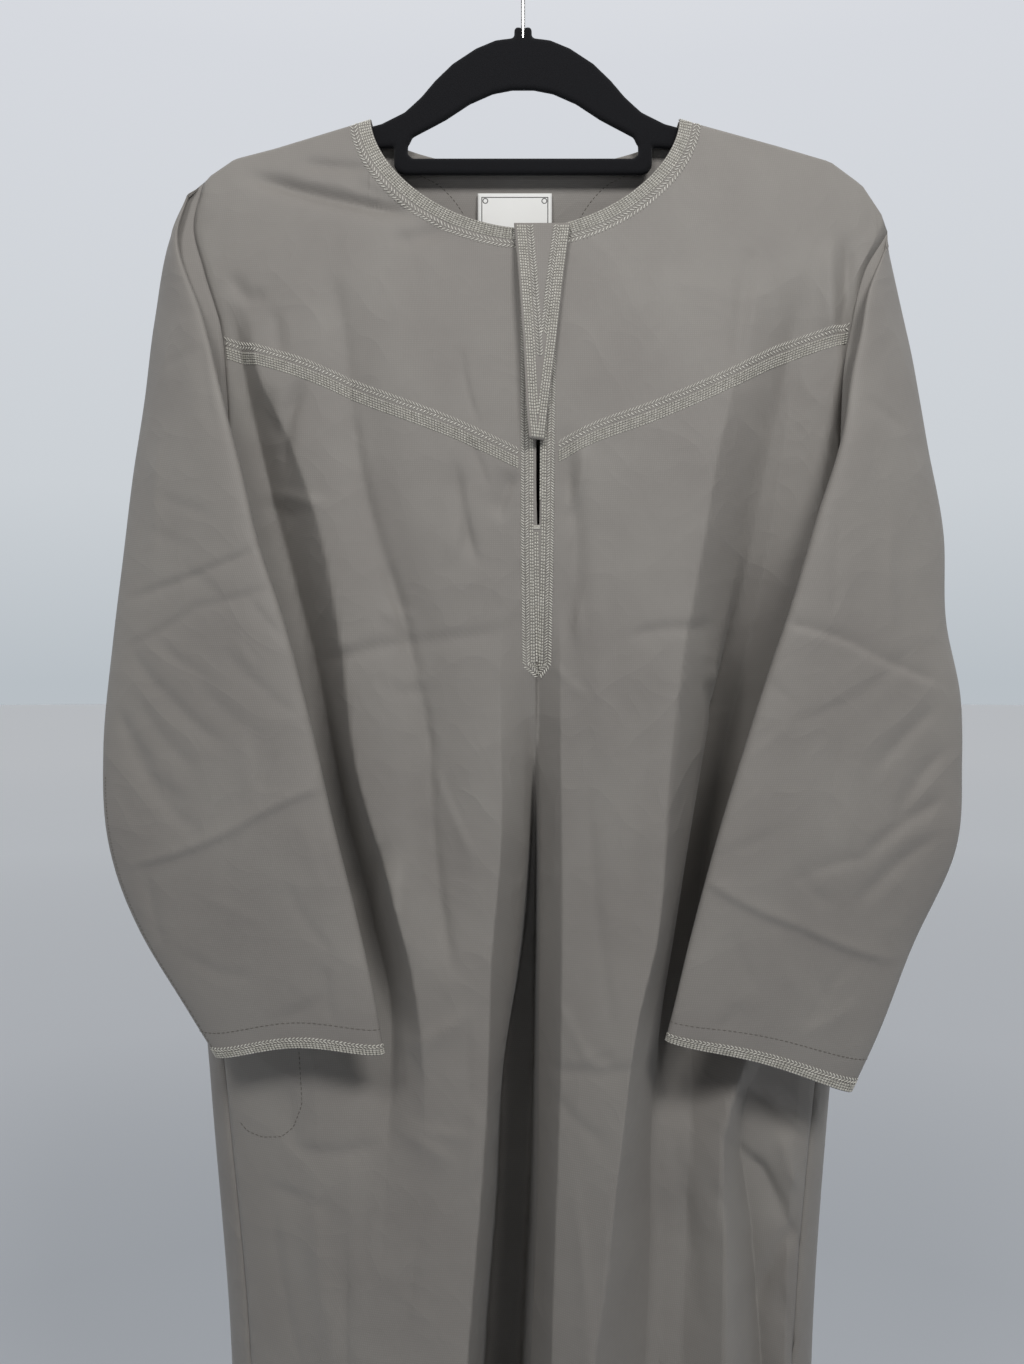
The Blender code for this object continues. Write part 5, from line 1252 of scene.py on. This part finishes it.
# Viscose embroidery thread: smooth filaments with a silky gloss.
viscose, tree, shader = new_finish("silky_viscose_thread")
place_in = add_node(tree, "ShaderNodeTexCoord")
uneven = add_node(tree, "ShaderNodeTexNoise", {"Vector": place_in.outputs["Object"],
                  "Scale": 1 / (3.0 * MM), "Detail": 1.0})
tone = add_node(tree, "ShaderNodeValToRGB", {"Fac": uneven.outputs["Fac"]})
tone.color_ramp.elements[0].position = 0.3
tone.color_ramp.elements[0].color = linear("c9c6bb")
tone.color_ramp.elements[1].position = 0.7
tone.color_ramp.elements[1].color = linear("e6e3d9")
tree.links.new(tone.outputs["Color"], shader.inputs["Base Color"])
shader.inputs["Roughness"].default_value = 0.38
shader.inputs["Specular IOR Level"].default_value = 0.5
shader.inputs["Sheen Weight"].default_value = 0.1


def neck_place(depth, place_points):
    """Places along and across the neck band, and the band's length, for one neck curve."""
    angle = np.linspace(0, np.pi, 4001)
    power = 2.0 / NECK_SQUARENESS
    way = np.cos(angle)
    across = NECK_MIDDLE - NECK_HALF_WIDTH * np.sign(way) * np.abs(way) ** power
    drop = NECK_POINT_DROP + depth * np.abs(np.sin(angle)) ** power
    run = np.concatenate([[0.0], np.cumsum(np.hypot(np.diff(across), np.diff(drop)))])

    def line(along):
        return np.stack([np.interp(along, run, across), np.interp(along, run, drop)], axis=-1)

    def placed(along, width, lift):
        ahead, behind = np.minimum(along + TANGENT_STEP, run[-1]), along - TANGENT_STEP
        tangent = unit(line(ahead) - line(np.maximum(behind, 0)))
        at = line(along)
        x = at[..., 0] - tangent[..., 1] * width
        d = np.maximum(at[..., 1] + tangent[..., 0] * width, ridge_drop(x) + 0.02)
        return place_points(x, d, lift)
    return placed, lambda turn: float(np.interp(math.radians(turn), angle, run))


def on_back_across(across, drop, lift):
    return on_back(turn_at(across, drop), drop, lift + BAND_EXTRA_BEHIND)


for name, depth, place_points, first, final in (
        ("neck_band_front_left", NECK_FRONT_DEPTH, on_front, 0, 87),
        ("neck_band_front_right", NECK_FRONT_DEPTH, on_front, 104, 180),
        ("neck_band_back", NECK_BACK_DEPTH, on_back_across, 0, 180)):
    placed, run_at = neck_place(depth, place_points)
    start, end = run_at(first), run_at(final)
    rows = [chain_row([(start, w), (end, w)]) for w in CHAIN_ROWS]
    rows.append(chevron_row([(start, CHEVRON_ROW), (end, CHEVRON_ROW)]))
    band = embroidered(name + "_embroidery", placed, rows)
    fit(band, "embroidery", name)

# ------------------------------------------------------------------ yoke bands
# The same embroidery on a slant across each side of the chest, from the armhole seam to the
# placket, its row of chevrons uppermost.
YOKE_COLUMNS = ("across", "drop")
YOKE_LEFT = ((-216, 317), (-164, 333), (-98, 361), (-43, 383), (-3.6, 402))
YOKE_RIGHT = ((24.1, 397), (43, 387), (91, 369), (139, 348), (188, 322), (233, 307))
YOKE_END_GAP = 1.0
YOKE_CHEVRONS = 3.6
YOKE_CHAINS = (8.4, 10.1, 11.8, 13.5, 15.2)


def yoke_place(route, side):
    route = np.array(route, dtype=float)
    ends = (route[0, 0], route[-1, 0])
    run = float(np.sum(np.hypot(*np.diff(route, axis=0).T)))
    outer_drop = float(column(route, YOKE_COLUMNS, "drop", ends[0] if side < 0 else ends[1]))

    def placed(along, width, lift):
        share = along / run
        seam = front_edge(side, outer_drop + width) - side * YOKE_END_GAP
        left, right = (seam, ends[1]) if side < 0 else (ends[0], seam)
        x = left + (right - left) * share
        drop = column(route, YOKE_COLUMNS, "drop", x) + width
        return on_front(x, drop, lift)
    return placed, run


for name, route, side in (("yoke_band_left", YOKE_LEFT, -1), ("yoke_band_right", YOKE_RIGHT, 1)):
    placed, run = yoke_place(route, side)
    rows = [chain_row([(0, w), (run, w)]) for w in YOKE_CHAINS]
    inwards = [(0, YOKE_CHEVRONS), (run, YOKE_CHEVRONS)]
    rows.append(chevron_row(inwards if side < 0 else inwards[::-1]))
    band = embroidered(name + "_embroidery", placed, rows)
    fit(band, "embroidery", name)

# ------------------------------------------------------------------ placket panel
# A long narrow panel of the same embroidery round the neck slit, ending in a point. Its two
# halves part along the slit, and below the slit its rows lie side by side.
PLACKET = ((259, -3, 23.5), (340, -3, 23.5), (406, -3, 22.4), (470, -3, 21.6),
           (554, -2, 20.0), (568.5, 9.9, 10.7))
PLACKET_END = 458.0
POINT_START = 554.0
POINT_TIP = 566.0
POINT_MIDDLE = 10.3
POINT_RISE = 1.25               # how much higher a row ends for each millimetre of its inset
POINT_PARTING = 0.15


def strip_side(table, edge, drop):
    """One side of a strip that is given by its drops and its two sides."""
    drops, left, right = np.array(table, dtype=float).T
    return np.interp(drop, drops, left if edge < 0 else right)


def placket_route(edge, inset, start, end):
    """A line down the placket at an inset from one of its sides, then along its point."""
    drops = np.linspace(start, min(end, POINT_START), 24)
    route = [(d, strip_side(PLACKET, edge, d) - edge * inset) for d in drops]
    if end > POINT_START:
        route.append((POINT_TIP - POINT_RISE * inset, POINT_MIDDLE + POINT_PARTING * edge))
    return route


def on_placket(drop, across, lift):
    return on_front(across, drop, lift)


rows = []
for edge, inset, start, end in (
        (-1, 7.6, 261, 562), (-1, 9.1, 261, 560), (1, 7.3, 261, 562), (1, 8.9, 261, 560),
        (1, 10.5, 261, 440), (-1, 10.9, PLACKET_END + 4, 552), (-1, 12.6, PLACKET_END + 4, 548)):
    rows.append(chain_row(placket_route(edge, inset, start, end)))
for edge, inset in ((-1, 3.7), (1, 3.5)):
    route = placket_route(edge, inset, 262, 567)
    rows.append(chevron_row(route if edge < 0 else route[::-1], reach=3.0, pitch=1.9))
panel_piece = embroidered("placket_panel_embroidery", on_placket, rows)
fit(panel_piece, "embroidery", "placket_panel")

# ------------------------------------------------------------------ placket flap
# A tab of folded cloth, embroidered down both sides, that hangs from the neck edge over the
# slit and narrows to its end. It stands a little off the panel and shades it.
FLAP = ((241.5, -6.7, 33.2), (279, -3.9, 28.3), (330, -0.4, 22.6), (374, 1.6, 17.0),
        (399, 3.7, 14.2))
FLAP_THICKNESS = 1.2
FLAP_STAND = 3.2                # how far its underside stands off the panel
FLAP_CURL = 5.0                 # its left edge curls up by this much more
FLAP_CURL_START = 50.0          # drop from the neck over which the curl begins
FLAP_ENDS = (1.5, 1.2)          # left bare above and below its stitches

flap_drops = np.linspace(FLAP[0][0], FLAP[-1][0], 80)
share = np.linspace(0, 1, 20)
left, right = [strip_side(FLAP, edge, flap_drops)[:, None] for edge in (-1, 1)]
flap_across = left + (right - left) * share
flap_grid = np.stack([np.repeat(flap_drops[:, None], len(share), axis=1), flap_across], axis=-1)


def on_flap(drop, across, lift):
    """Points at a lift over the flap's face."""
    left, right = strip_side(FLAP, -1, drop), strip_side(FLAP, 1, drop)
    curl = FLAP_CURL * ease((drop - FLAP[0][0]) / FLAP_CURL_START)
    curl = curl * (right - across) / (right - left)
    return on_front(across, drop, FLAP_STAND + FLAP_THICKNESS + curl + lift)


def flap_rows(edge, insets, chevrons, wide, share):
    """Stitch rows down one side of the flap, each as far as the flap is wide enough."""
    def route(inset, fits):
        return [(d, strip_side(FLAP, edge, d) - edge * inset) for d in stitch_drops[fits]]
    rows = [chain_row(route(inset, flap_widths * share > inset)) for inset in insets]
    legs = route(chevrons, flap_widths > wide)[::-edge]
    return rows + [chevron_row(legs, reach=2.6, pitch=2.2)]


stitch_drops = np.linspace(FLAP[0][0] + FLAP_ENDS[0], FLAP[-1][0] - FLAP_ENDS[1], 60)
flap_widths = strip_side(FLAP, 1, stitch_drops) - strip_side(FLAP, -1, stitch_drops)
flap_face, flap_back = [on_flap(flap_grid[..., 0], flap_grid[..., 1], lift)
                        for lift in (0.0, -FLAP_THICKNESS)]
flap = cloth_shell("placket_flap_cloth", flap_face, flap_back, flap_grid * MM)
flap.data.materials.append(taupe)
rows = flap_rows(-1, (2.4, 4.1, 5.8, 7.5), chevrons=11.2, wide=21.0, share=0.55)
rows += flap_rows(1, (1.2, 2.9, 4.6, 6.3), chevrons=9.4, wide=24.0, share=0.45)
flap_stitches = embroidered("placket_flap_embroidery", on_flap, rows)
fit(flap, "cloth", "placket_flap")
fit(flap_stitches, "embroidery")

# ------------------------------------------------------------------ cuff bands
# A narrow band of chain stitch and chevrons in the same viscose thread, embroidered all
# round each sleeve's edge through the cloth and its turned hem.
CUFF_CHAINS = (0.9, 2.3, 3.7)
CUFF_CHEVRONS = 6.2
CUFF_JOIN = 0.2                 # left free where a row comes round to its start


def cuff_place(outer, normal):
    """Places round a cuff and up from its edge, and how far round each column is."""
    edge = outer[-1, :-1]
    steps = np.linalg.norm(np.roll(edge, -1, axis=0) - edge, axis=1)
    run = np.concatenate([[0.0], np.cumsum(steps)])
    numbers = np.arange(len(run))
    rise = np.linalg.norm(outer[-2, :-1] - outer[-1, :-1], axis=1).mean()

    def placed(along, width, lift):
        c = np.interp(along % run[-1], run, numbers)
        r = len(outer) - 1 - np.clip(width / rise, 0, ROWS_BELOW_UNDERARM)
        c0, r0 = c.astype(int) % len(edge), np.minimum(r.astype(int), len(outer) - 2)
        c1, fc, fr = (c0 + 1) % len(edge), (c - c.astype(int))[..., None], (r - r0)[..., None]

        def at(grid):
            upper = grid[r0, c0] * (1 - fc) + grid[r0, c1] * fc
            lower = grid[r0 + 1, c0] * (1 - fc) + grid[r0 + 1, c1] * fc
            return upper * (1 - fr) + lower * fr
        return at(outer) + unit(at(normal)) * lift[..., None]
    return placed, run


cuff_places = {}
for name, (outer, normal) in sleeve_grids.items():
    placed, run = cuff_places[name] = cuff_place(outer, normal)
    end = run[-1] - CUFF_JOIN
    rows = [chain_row([(0, w), (end, w)]) for w in CUFF_CHAINS]
    rows.append(chevron_row([(0, CUFF_CHEVRONS), (end, CUFF_CHEVRONS)], reach=1.7))
    band_name = name.replace("sleeve", "cuff_band")
    band = embroidered(band_name + "_embroidery", placed, rows)
    fit(band, "embroidery", band_name)

# ------------------------------------------------------------------ sewing
# Run stitches in thread a little darker than the cloth: hems at the cuffs and the bottom,
# the seam down the left sleeve, the left pocket bag's outline, the neck facing, and a bar
# tack that closes the slit's end.
RUN_PITCH = 3.4                 # real stitches are 2.5 mm, drawn longer
RUN_SHARE = 0.74                # share of the pitch that shows as thread
RUN_HALF_WIDTH = 0.28
RUN_HEIGHT = 0.3
CUFF_HEM = 18.0
BOTTOM_HEM = 20.0
HEM_INSET, HEM_INSET_TURN = 3.0, 1.0    # kept from the side seams: millimetres, and degrees
HEM_MM_A_DEGREE = 3.0           # about how much of the back's hem lies in a degree of turn
SLEEVE_SEAM_IN = 7              # columns between the left sleeve's outer edge and its seam
SLEEVE_SEAM_TOP = 250.0
POCKET_OUTLINE = ((-152, 700), (-154, 819), (-151.5, 854), (-157.7, 870.7), (-166, 877.6),
                  (-179.8, 879.6), (-191.5, 877.6), (-198, 872))
FACING_COLUMNS = ("across", "drop")
FACING = ((-77, 189), (-58, 200), (-42, 221), (-30, 250), (0, 262), (30, 250), (42, 221),
          (58, 200), (77, 189))
TACK_ACROSS, TACK_DROPS = (5.8, 12.7), (458.0, 458.8, 459.6)
TACK_HALF_WIDTH, TACK_BASE, TACK_HEIGHT = 0.5, 0.1, 0.8

# Spun polyester thread: matt and a little darker than the cloth.
sewing_thread, tree, shader = new_finish("spun_polyester_thread")
shader.inputs["Base Color"].default_value = linear("69645c")
shader.inputs["Roughness"].default_value = 0.7


def run_row(route, base=STITCH_BASE):
    starts, ends = along_route(route, RUN_PITCH)
    ends = starts + (ends - starts) * RUN_SHARE
    return threads(starts, ends, 0.0, RUN_HALF_WIDTH, base, RUN_HEIGHT)


for name, (placed, run) in cuff_places.items():
    rows = [run_row([(0, CUFF_HEM), (run[-1] - CUFF_JOIN, CUFF_HEM)])]
    if name == "sleeve_left":
        seam_at = run[TUCK_STEPS + FACE_STEPS - SLEEVE_SEAM_IN]
        rows.append(run_row([(seam_at, 1.0), (seam_at, SLEEVE_SEAM_TOP)]))
    fit(embroidered(name + "_sewing", placed, rows, sewing_thread), "embroidery")

hem_across = np.linspace(front_edge(-1, HEM_DROP) + HEM_INSET,
                         front_edge(1, HEM_DROP) - HEM_INSET, 90)
front_rows = [run_row([(x, HEM_DROP - BOTTOM_HEM) for x in hem_across]), run_row(POCKET_OUTLINE)]
fit(embroidered("front_sewing", on_front, front_rows, sewing_thread), "embroidery")

hem_turns = np.linspace(back_edge_turn(-1, HEM_DROP) + HEM_INSET_TURN,
                        back_edge_turn(1, HEM_DROP) - HEM_INSET_TURN, 150)
hem_run = [(turn * HEM_MM_A_DEGREE, 0.0) for turn in hem_turns]


def on_back_hem(along, width, lift):
    return on_back(along / HEM_MM_A_DEGREE, HEM_DROP - BOTTOM_HEM + width, lift)


fit(embroidered("back_hem_sewing", on_back_hem, [run_row(hem_run)], sewing_thread), "embroidery")

facing_across = np.linspace(FACING[0][0], FACING[-1][0], 60)
facing_route = list(zip(facing_across, column(FACING, FACING_COLUMNS, "drop", facing_across)))
fit(embroidered("facing_sewing", lambda x, d, lift: on_back(turn_at(x, d), d, -CLOTH - lift),
                [run_row(facing_route)], sewing_thread), "embroidery")

tack = [threads(*[[(x, drop)] for x in TACK_ACROSS], 0.0, TACK_HALF_WIDTH, TACK_BASE, TACK_HEIGHT)
        for drop in TACK_DROPS]
fit(embroidered("slit_bar_tack", on_front, tack), "embroidery")

# ------------------------------------------------------------------ neck label
# A woven satin label, folded under and stitched inside the back. It is left blank but for a
# fine dark border with a plain curl in each corner.
LABEL_MIDDLE = -6.0
LABEL_SIZE = (55.0, 38.0)
LABEL_TOP_DROP = 203.0
LABEL_THICKNESS = 0.9
LABEL_GAP = 2.4
LABEL_BORDER = 3.0
BORDER_LINE = 0.7
CORNER_IN = 2.6                 # from the border to the middle of a corner's curl
CURL_RADIUS = 1.8
LABEL_WAVE, LABEL_WAVE_LENGTH = 0.5, 9.0

label_across = LABEL_MIDDLE + np.linspace(-0.5, 0.5, 30) * LABEL_SIZE[0]
label_drops = LABEL_TOP_DROP + np.linspace(0, 1, 22) * LABEL_SIZE[1]
label_x, label_d = np.meshgrid(label_across, label_drops)
label_down = label_d - LABEL_TOP_DROP
wave = LABEL_WAVE * np.sin(label_x / LABEL_WAVE_LENGTH) * ease(label_down / LABEL_SIZE[1])
level = float(back_y(label_across, label_drops[0] + 0 * label_across).min())
label_y = np.full(label_x.shape, level - LABEL_GAP) + wave
label_outer = np.stack([label_x, label_y, -label_d], axis=-1)
label_uv = np.stack([label_x - LABEL_MIDDLE, label_down - LABEL_SIZE[1] / 2], -1) * MM
label = cloth_shell("woven_label", label_outer - np.array([0, LABEL_THICKNESS, 0]), label_outer,
                    label_uv)

# Woven satin: pale, smooth and softly shiny, with the border and the curls woven in dark.
woven, tree, shader = new_finish("woven_satin_label")
flat = add_node(tree, "ShaderNodeUVMap", uv_map="cloth")
parts = add_node(tree, "ShaderNodeSeparateXYZ", {0: flat.outputs["UV"]})
inside = []
for axis, size in (("X", LABEL_SIZE[0]), ("Y", LABEL_SIZE[1])):
    away = add_node(tree, "ShaderNodeMath", {0: parts.outputs[axis]}, operation="ABSOLUTE")
    inside.append(add_node(tree, "ShaderNodeMath", {0: (size / 2 - LABEL_BORDER) * MM,
                                                    1: away.outputs[0]}, operation="SUBTRACT"))
nearest = add_node(tree, "ShaderNodeMath", {0: inside[0].outputs[0], 1: inside[1].outputs[0]},
                   operation="MINIMUM")
line = add_node(tree, "ShaderNodeMath", {0: nearest.outputs[0], 1: 0.0,
                                         2: BORDER_LINE / 2 * MM}, operation="COMPARE")
corner = [add_node(tree, "ShaderNodeMath", {0: side_in.outputs[0], 1: CORNER_IN * MM},
                   operation="SUBTRACT") for side_in in inside]
corner_at = add_node(tree, "ShaderNodeCombineXYZ", {"X": corner[0].outputs[0],
                                                    "Y": corner[1].outputs[0]})
from_corner = add_node(tree, "ShaderNodeVectorMath", {0: corner_at.outputs[0]}, operation="LENGTH")
curl = add_node(tree, "ShaderNodeMath", {0: from_corner.outputs["Value"], 1: CURL_RADIUS * MM,
                                         2: BORDER_LINE / 2 * MM}, operation="COMPARE")
drawn = add_node(tree, "ShaderNodeMath", {0: line.outputs[0], 1: curl.outputs[0]},
                 operation="MAXIMUM")
ink = add_node(tree, "ShaderNodeMix", {"Factor": drawn.outputs[0]}, data_type="RGBA")
ink.inputs["A"].default_value = linear("e9e8e4")
ink.inputs["B"].default_value = linear("3a3936")
tree.links.new(ink.outputs["Result"], shader.inputs["Base Color"])
shader.inputs["Roughness"].default_value = 0.5
shader.inputs["Sheen Weight"].default_value = 0.15
label.data.materials.append(woven)
fit(label, "label", "neck_label")

# ------------------------------------------------------------------ room
# A pale room: a wide floor well below the hem, even light from behind and above, and two
# soft lamps above the front, the stronger one to the right.
FLOOR_DROP = 1750.0
FLOOR_RADIUS = 60.0
CAMERA_AT = (-0.0081, -0.782, -0.5657)
CAMERA_LENS = 28.08
SENSOR = 36.0
DIM_SIDE = 0.12                 # strength of the room's light in front of the robe
FLOOR_SHADE_FULL_TO, FLOOR_SHADE_GONE_AT = 1.6, 16.0      # metres from the robe between which the painted shade fades out and the floor turns paler
CEILING_LAMPS = {               # place in metres, and power in watts
    "ceiling_lamp_left": ((-0.6, -1.5, 0.8), 13.5),
    "ceiling_lamp_right": ((0.7, -1.5, 0.8), 21.0),
}
LAMP_SIZE = (0.6, 0.5)
LAMPS_AIM = (0.0, 0.0, 0.1)

bpy.context.scene.view_settings.view_transform = "Standard"
bpy.ops.object.select_all(action="DESELECT")
bpy.ops.mesh.primitive_circle_add(vertices=96, radius=FLOOR_RADIUS, fill_type="NGON",
                                  location=(0, 0, -FLOOR_DROP * MM))
floor = bpy.context.object
floor.name = "floor"
# Matt paint, greyer in the middle of the room round the robe: painted shade that fades out to a
# pale floor far away.
paint, tree, shader = new_finish("matt_floor_paint_with_painted_shade")
place_in = add_node(tree, "ShaderNodeTexCoord")
away = add_node(tree, "ShaderNodeVectorMath", {0: place_in.outputs["Object"]}, operation="LENGTH")
far = add_node(tree, "ShaderNodeMapRange", {"Value": away.outputs["Value"],
                                            "From Min": FLOOR_SHADE_FULL_TO, "From Max": FLOOR_SHADE_GONE_AT})
shade = add_node(tree, "ShaderNodeValToRGB", {"Fac": far.outputs["Result"]})
# painted shade: the floor's colour is darker near the robe and pales with distance
shade.color_ramp.elements[0].color = linear("c9cdd2")
shade.color_ramp.elements[1].color = linear("fbfdff")
shade.color_ramp.elements.new(0.1).color = linear("dfe2e6")
shade.color_ramp.elements.new(0.4).color = linear("f4f7fa")
tree.links.new(shade.outputs["Color"], shader.inputs["Base Color"])
shader.inputs["Roughness"].default_value = 0.9
shader.inputs["Specular IOR Level"].default_value = 0.0
floor.data.materials.append(paint)

# Light from pale walls and a ceiling: even, paler upwards, and dim in front of the robe.
room = bpy.data.worlds.new("even_room_light")
room.use_nodes = True
glow = room.node_tree.nodes["Background"]
sky = add_node(room.node_tree, "ShaderNodeTexCoord")
height = add_node(room.node_tree, "ShaderNodeSeparateXYZ", {0: sky.outputs["Generated"]})
fade = add_node(room.node_tree, "ShaderNodeValToRGB", {"Fac": height.outputs["Z"]})
fade.color_ramp.elements[0].color = linear("b8bfc5")
fade.color_ramp.elements[1].color = linear("ffffff")
fade.color_ramp.elements.new(0.17).color = linear("cbd0d5")
fade.color_ramp.elements.new(0.5).color = linear("d6d9df")
room.node_tree.links.new(fade.outputs["Color"], glow.inputs["Color"])
facing = add_node(room.node_tree, "ShaderNodeMapRange", {
    "Value": height.outputs["Y"], "From Min": -0.3, "From Max": 0.12, "To Min": DIM_SIDE},
    interpolation_type="SMOOTHSTEP")
room.node_tree.links.new(facing.outputs["Result"], glow.inputs["Strength"])
bpy.context.scene.world = room


for name, (at, power) in CEILING_LAMPS.items():
    light = bpy.data.lights.new(name, "AREA")
    light.shape = "RECTANGLE"
    light.size, light.size_y = LAMP_SIZE
    light.energy = power
    lamp = bpy.data.objects.new(name, light)
    bpy.context.scene.collection.objects.link(lamp)
    lamp.location = at
    way = np.array(LAMPS_AIM, dtype=float) - np.array(at, dtype=float)
    yaw = math.atan2(way[0], way[1])
    pitch = math.atan2(way[2], math.hypot(way[0], way[1]))
    lamp.rotation_euler = (math.pi / 2 + pitch, 0.0, -yaw)

lens = bpy.data.cameras.new("camera")
lens.sensor_fit = "VERTICAL"
lens.sensor_height = SENSOR
lens.lens = CAMERA_LENS
lens.clip_start = 0.01
lens.clip_end = 300.0
camera = bpy.data.objects.new("camera", lens)
bpy.context.scene.collection.objects.link(camera)
camera.location = CAMERA_AT
camera.rotation_euler = (math.pi / 2, 0.0, 0.0)
bpy.context.scene.camera = camera
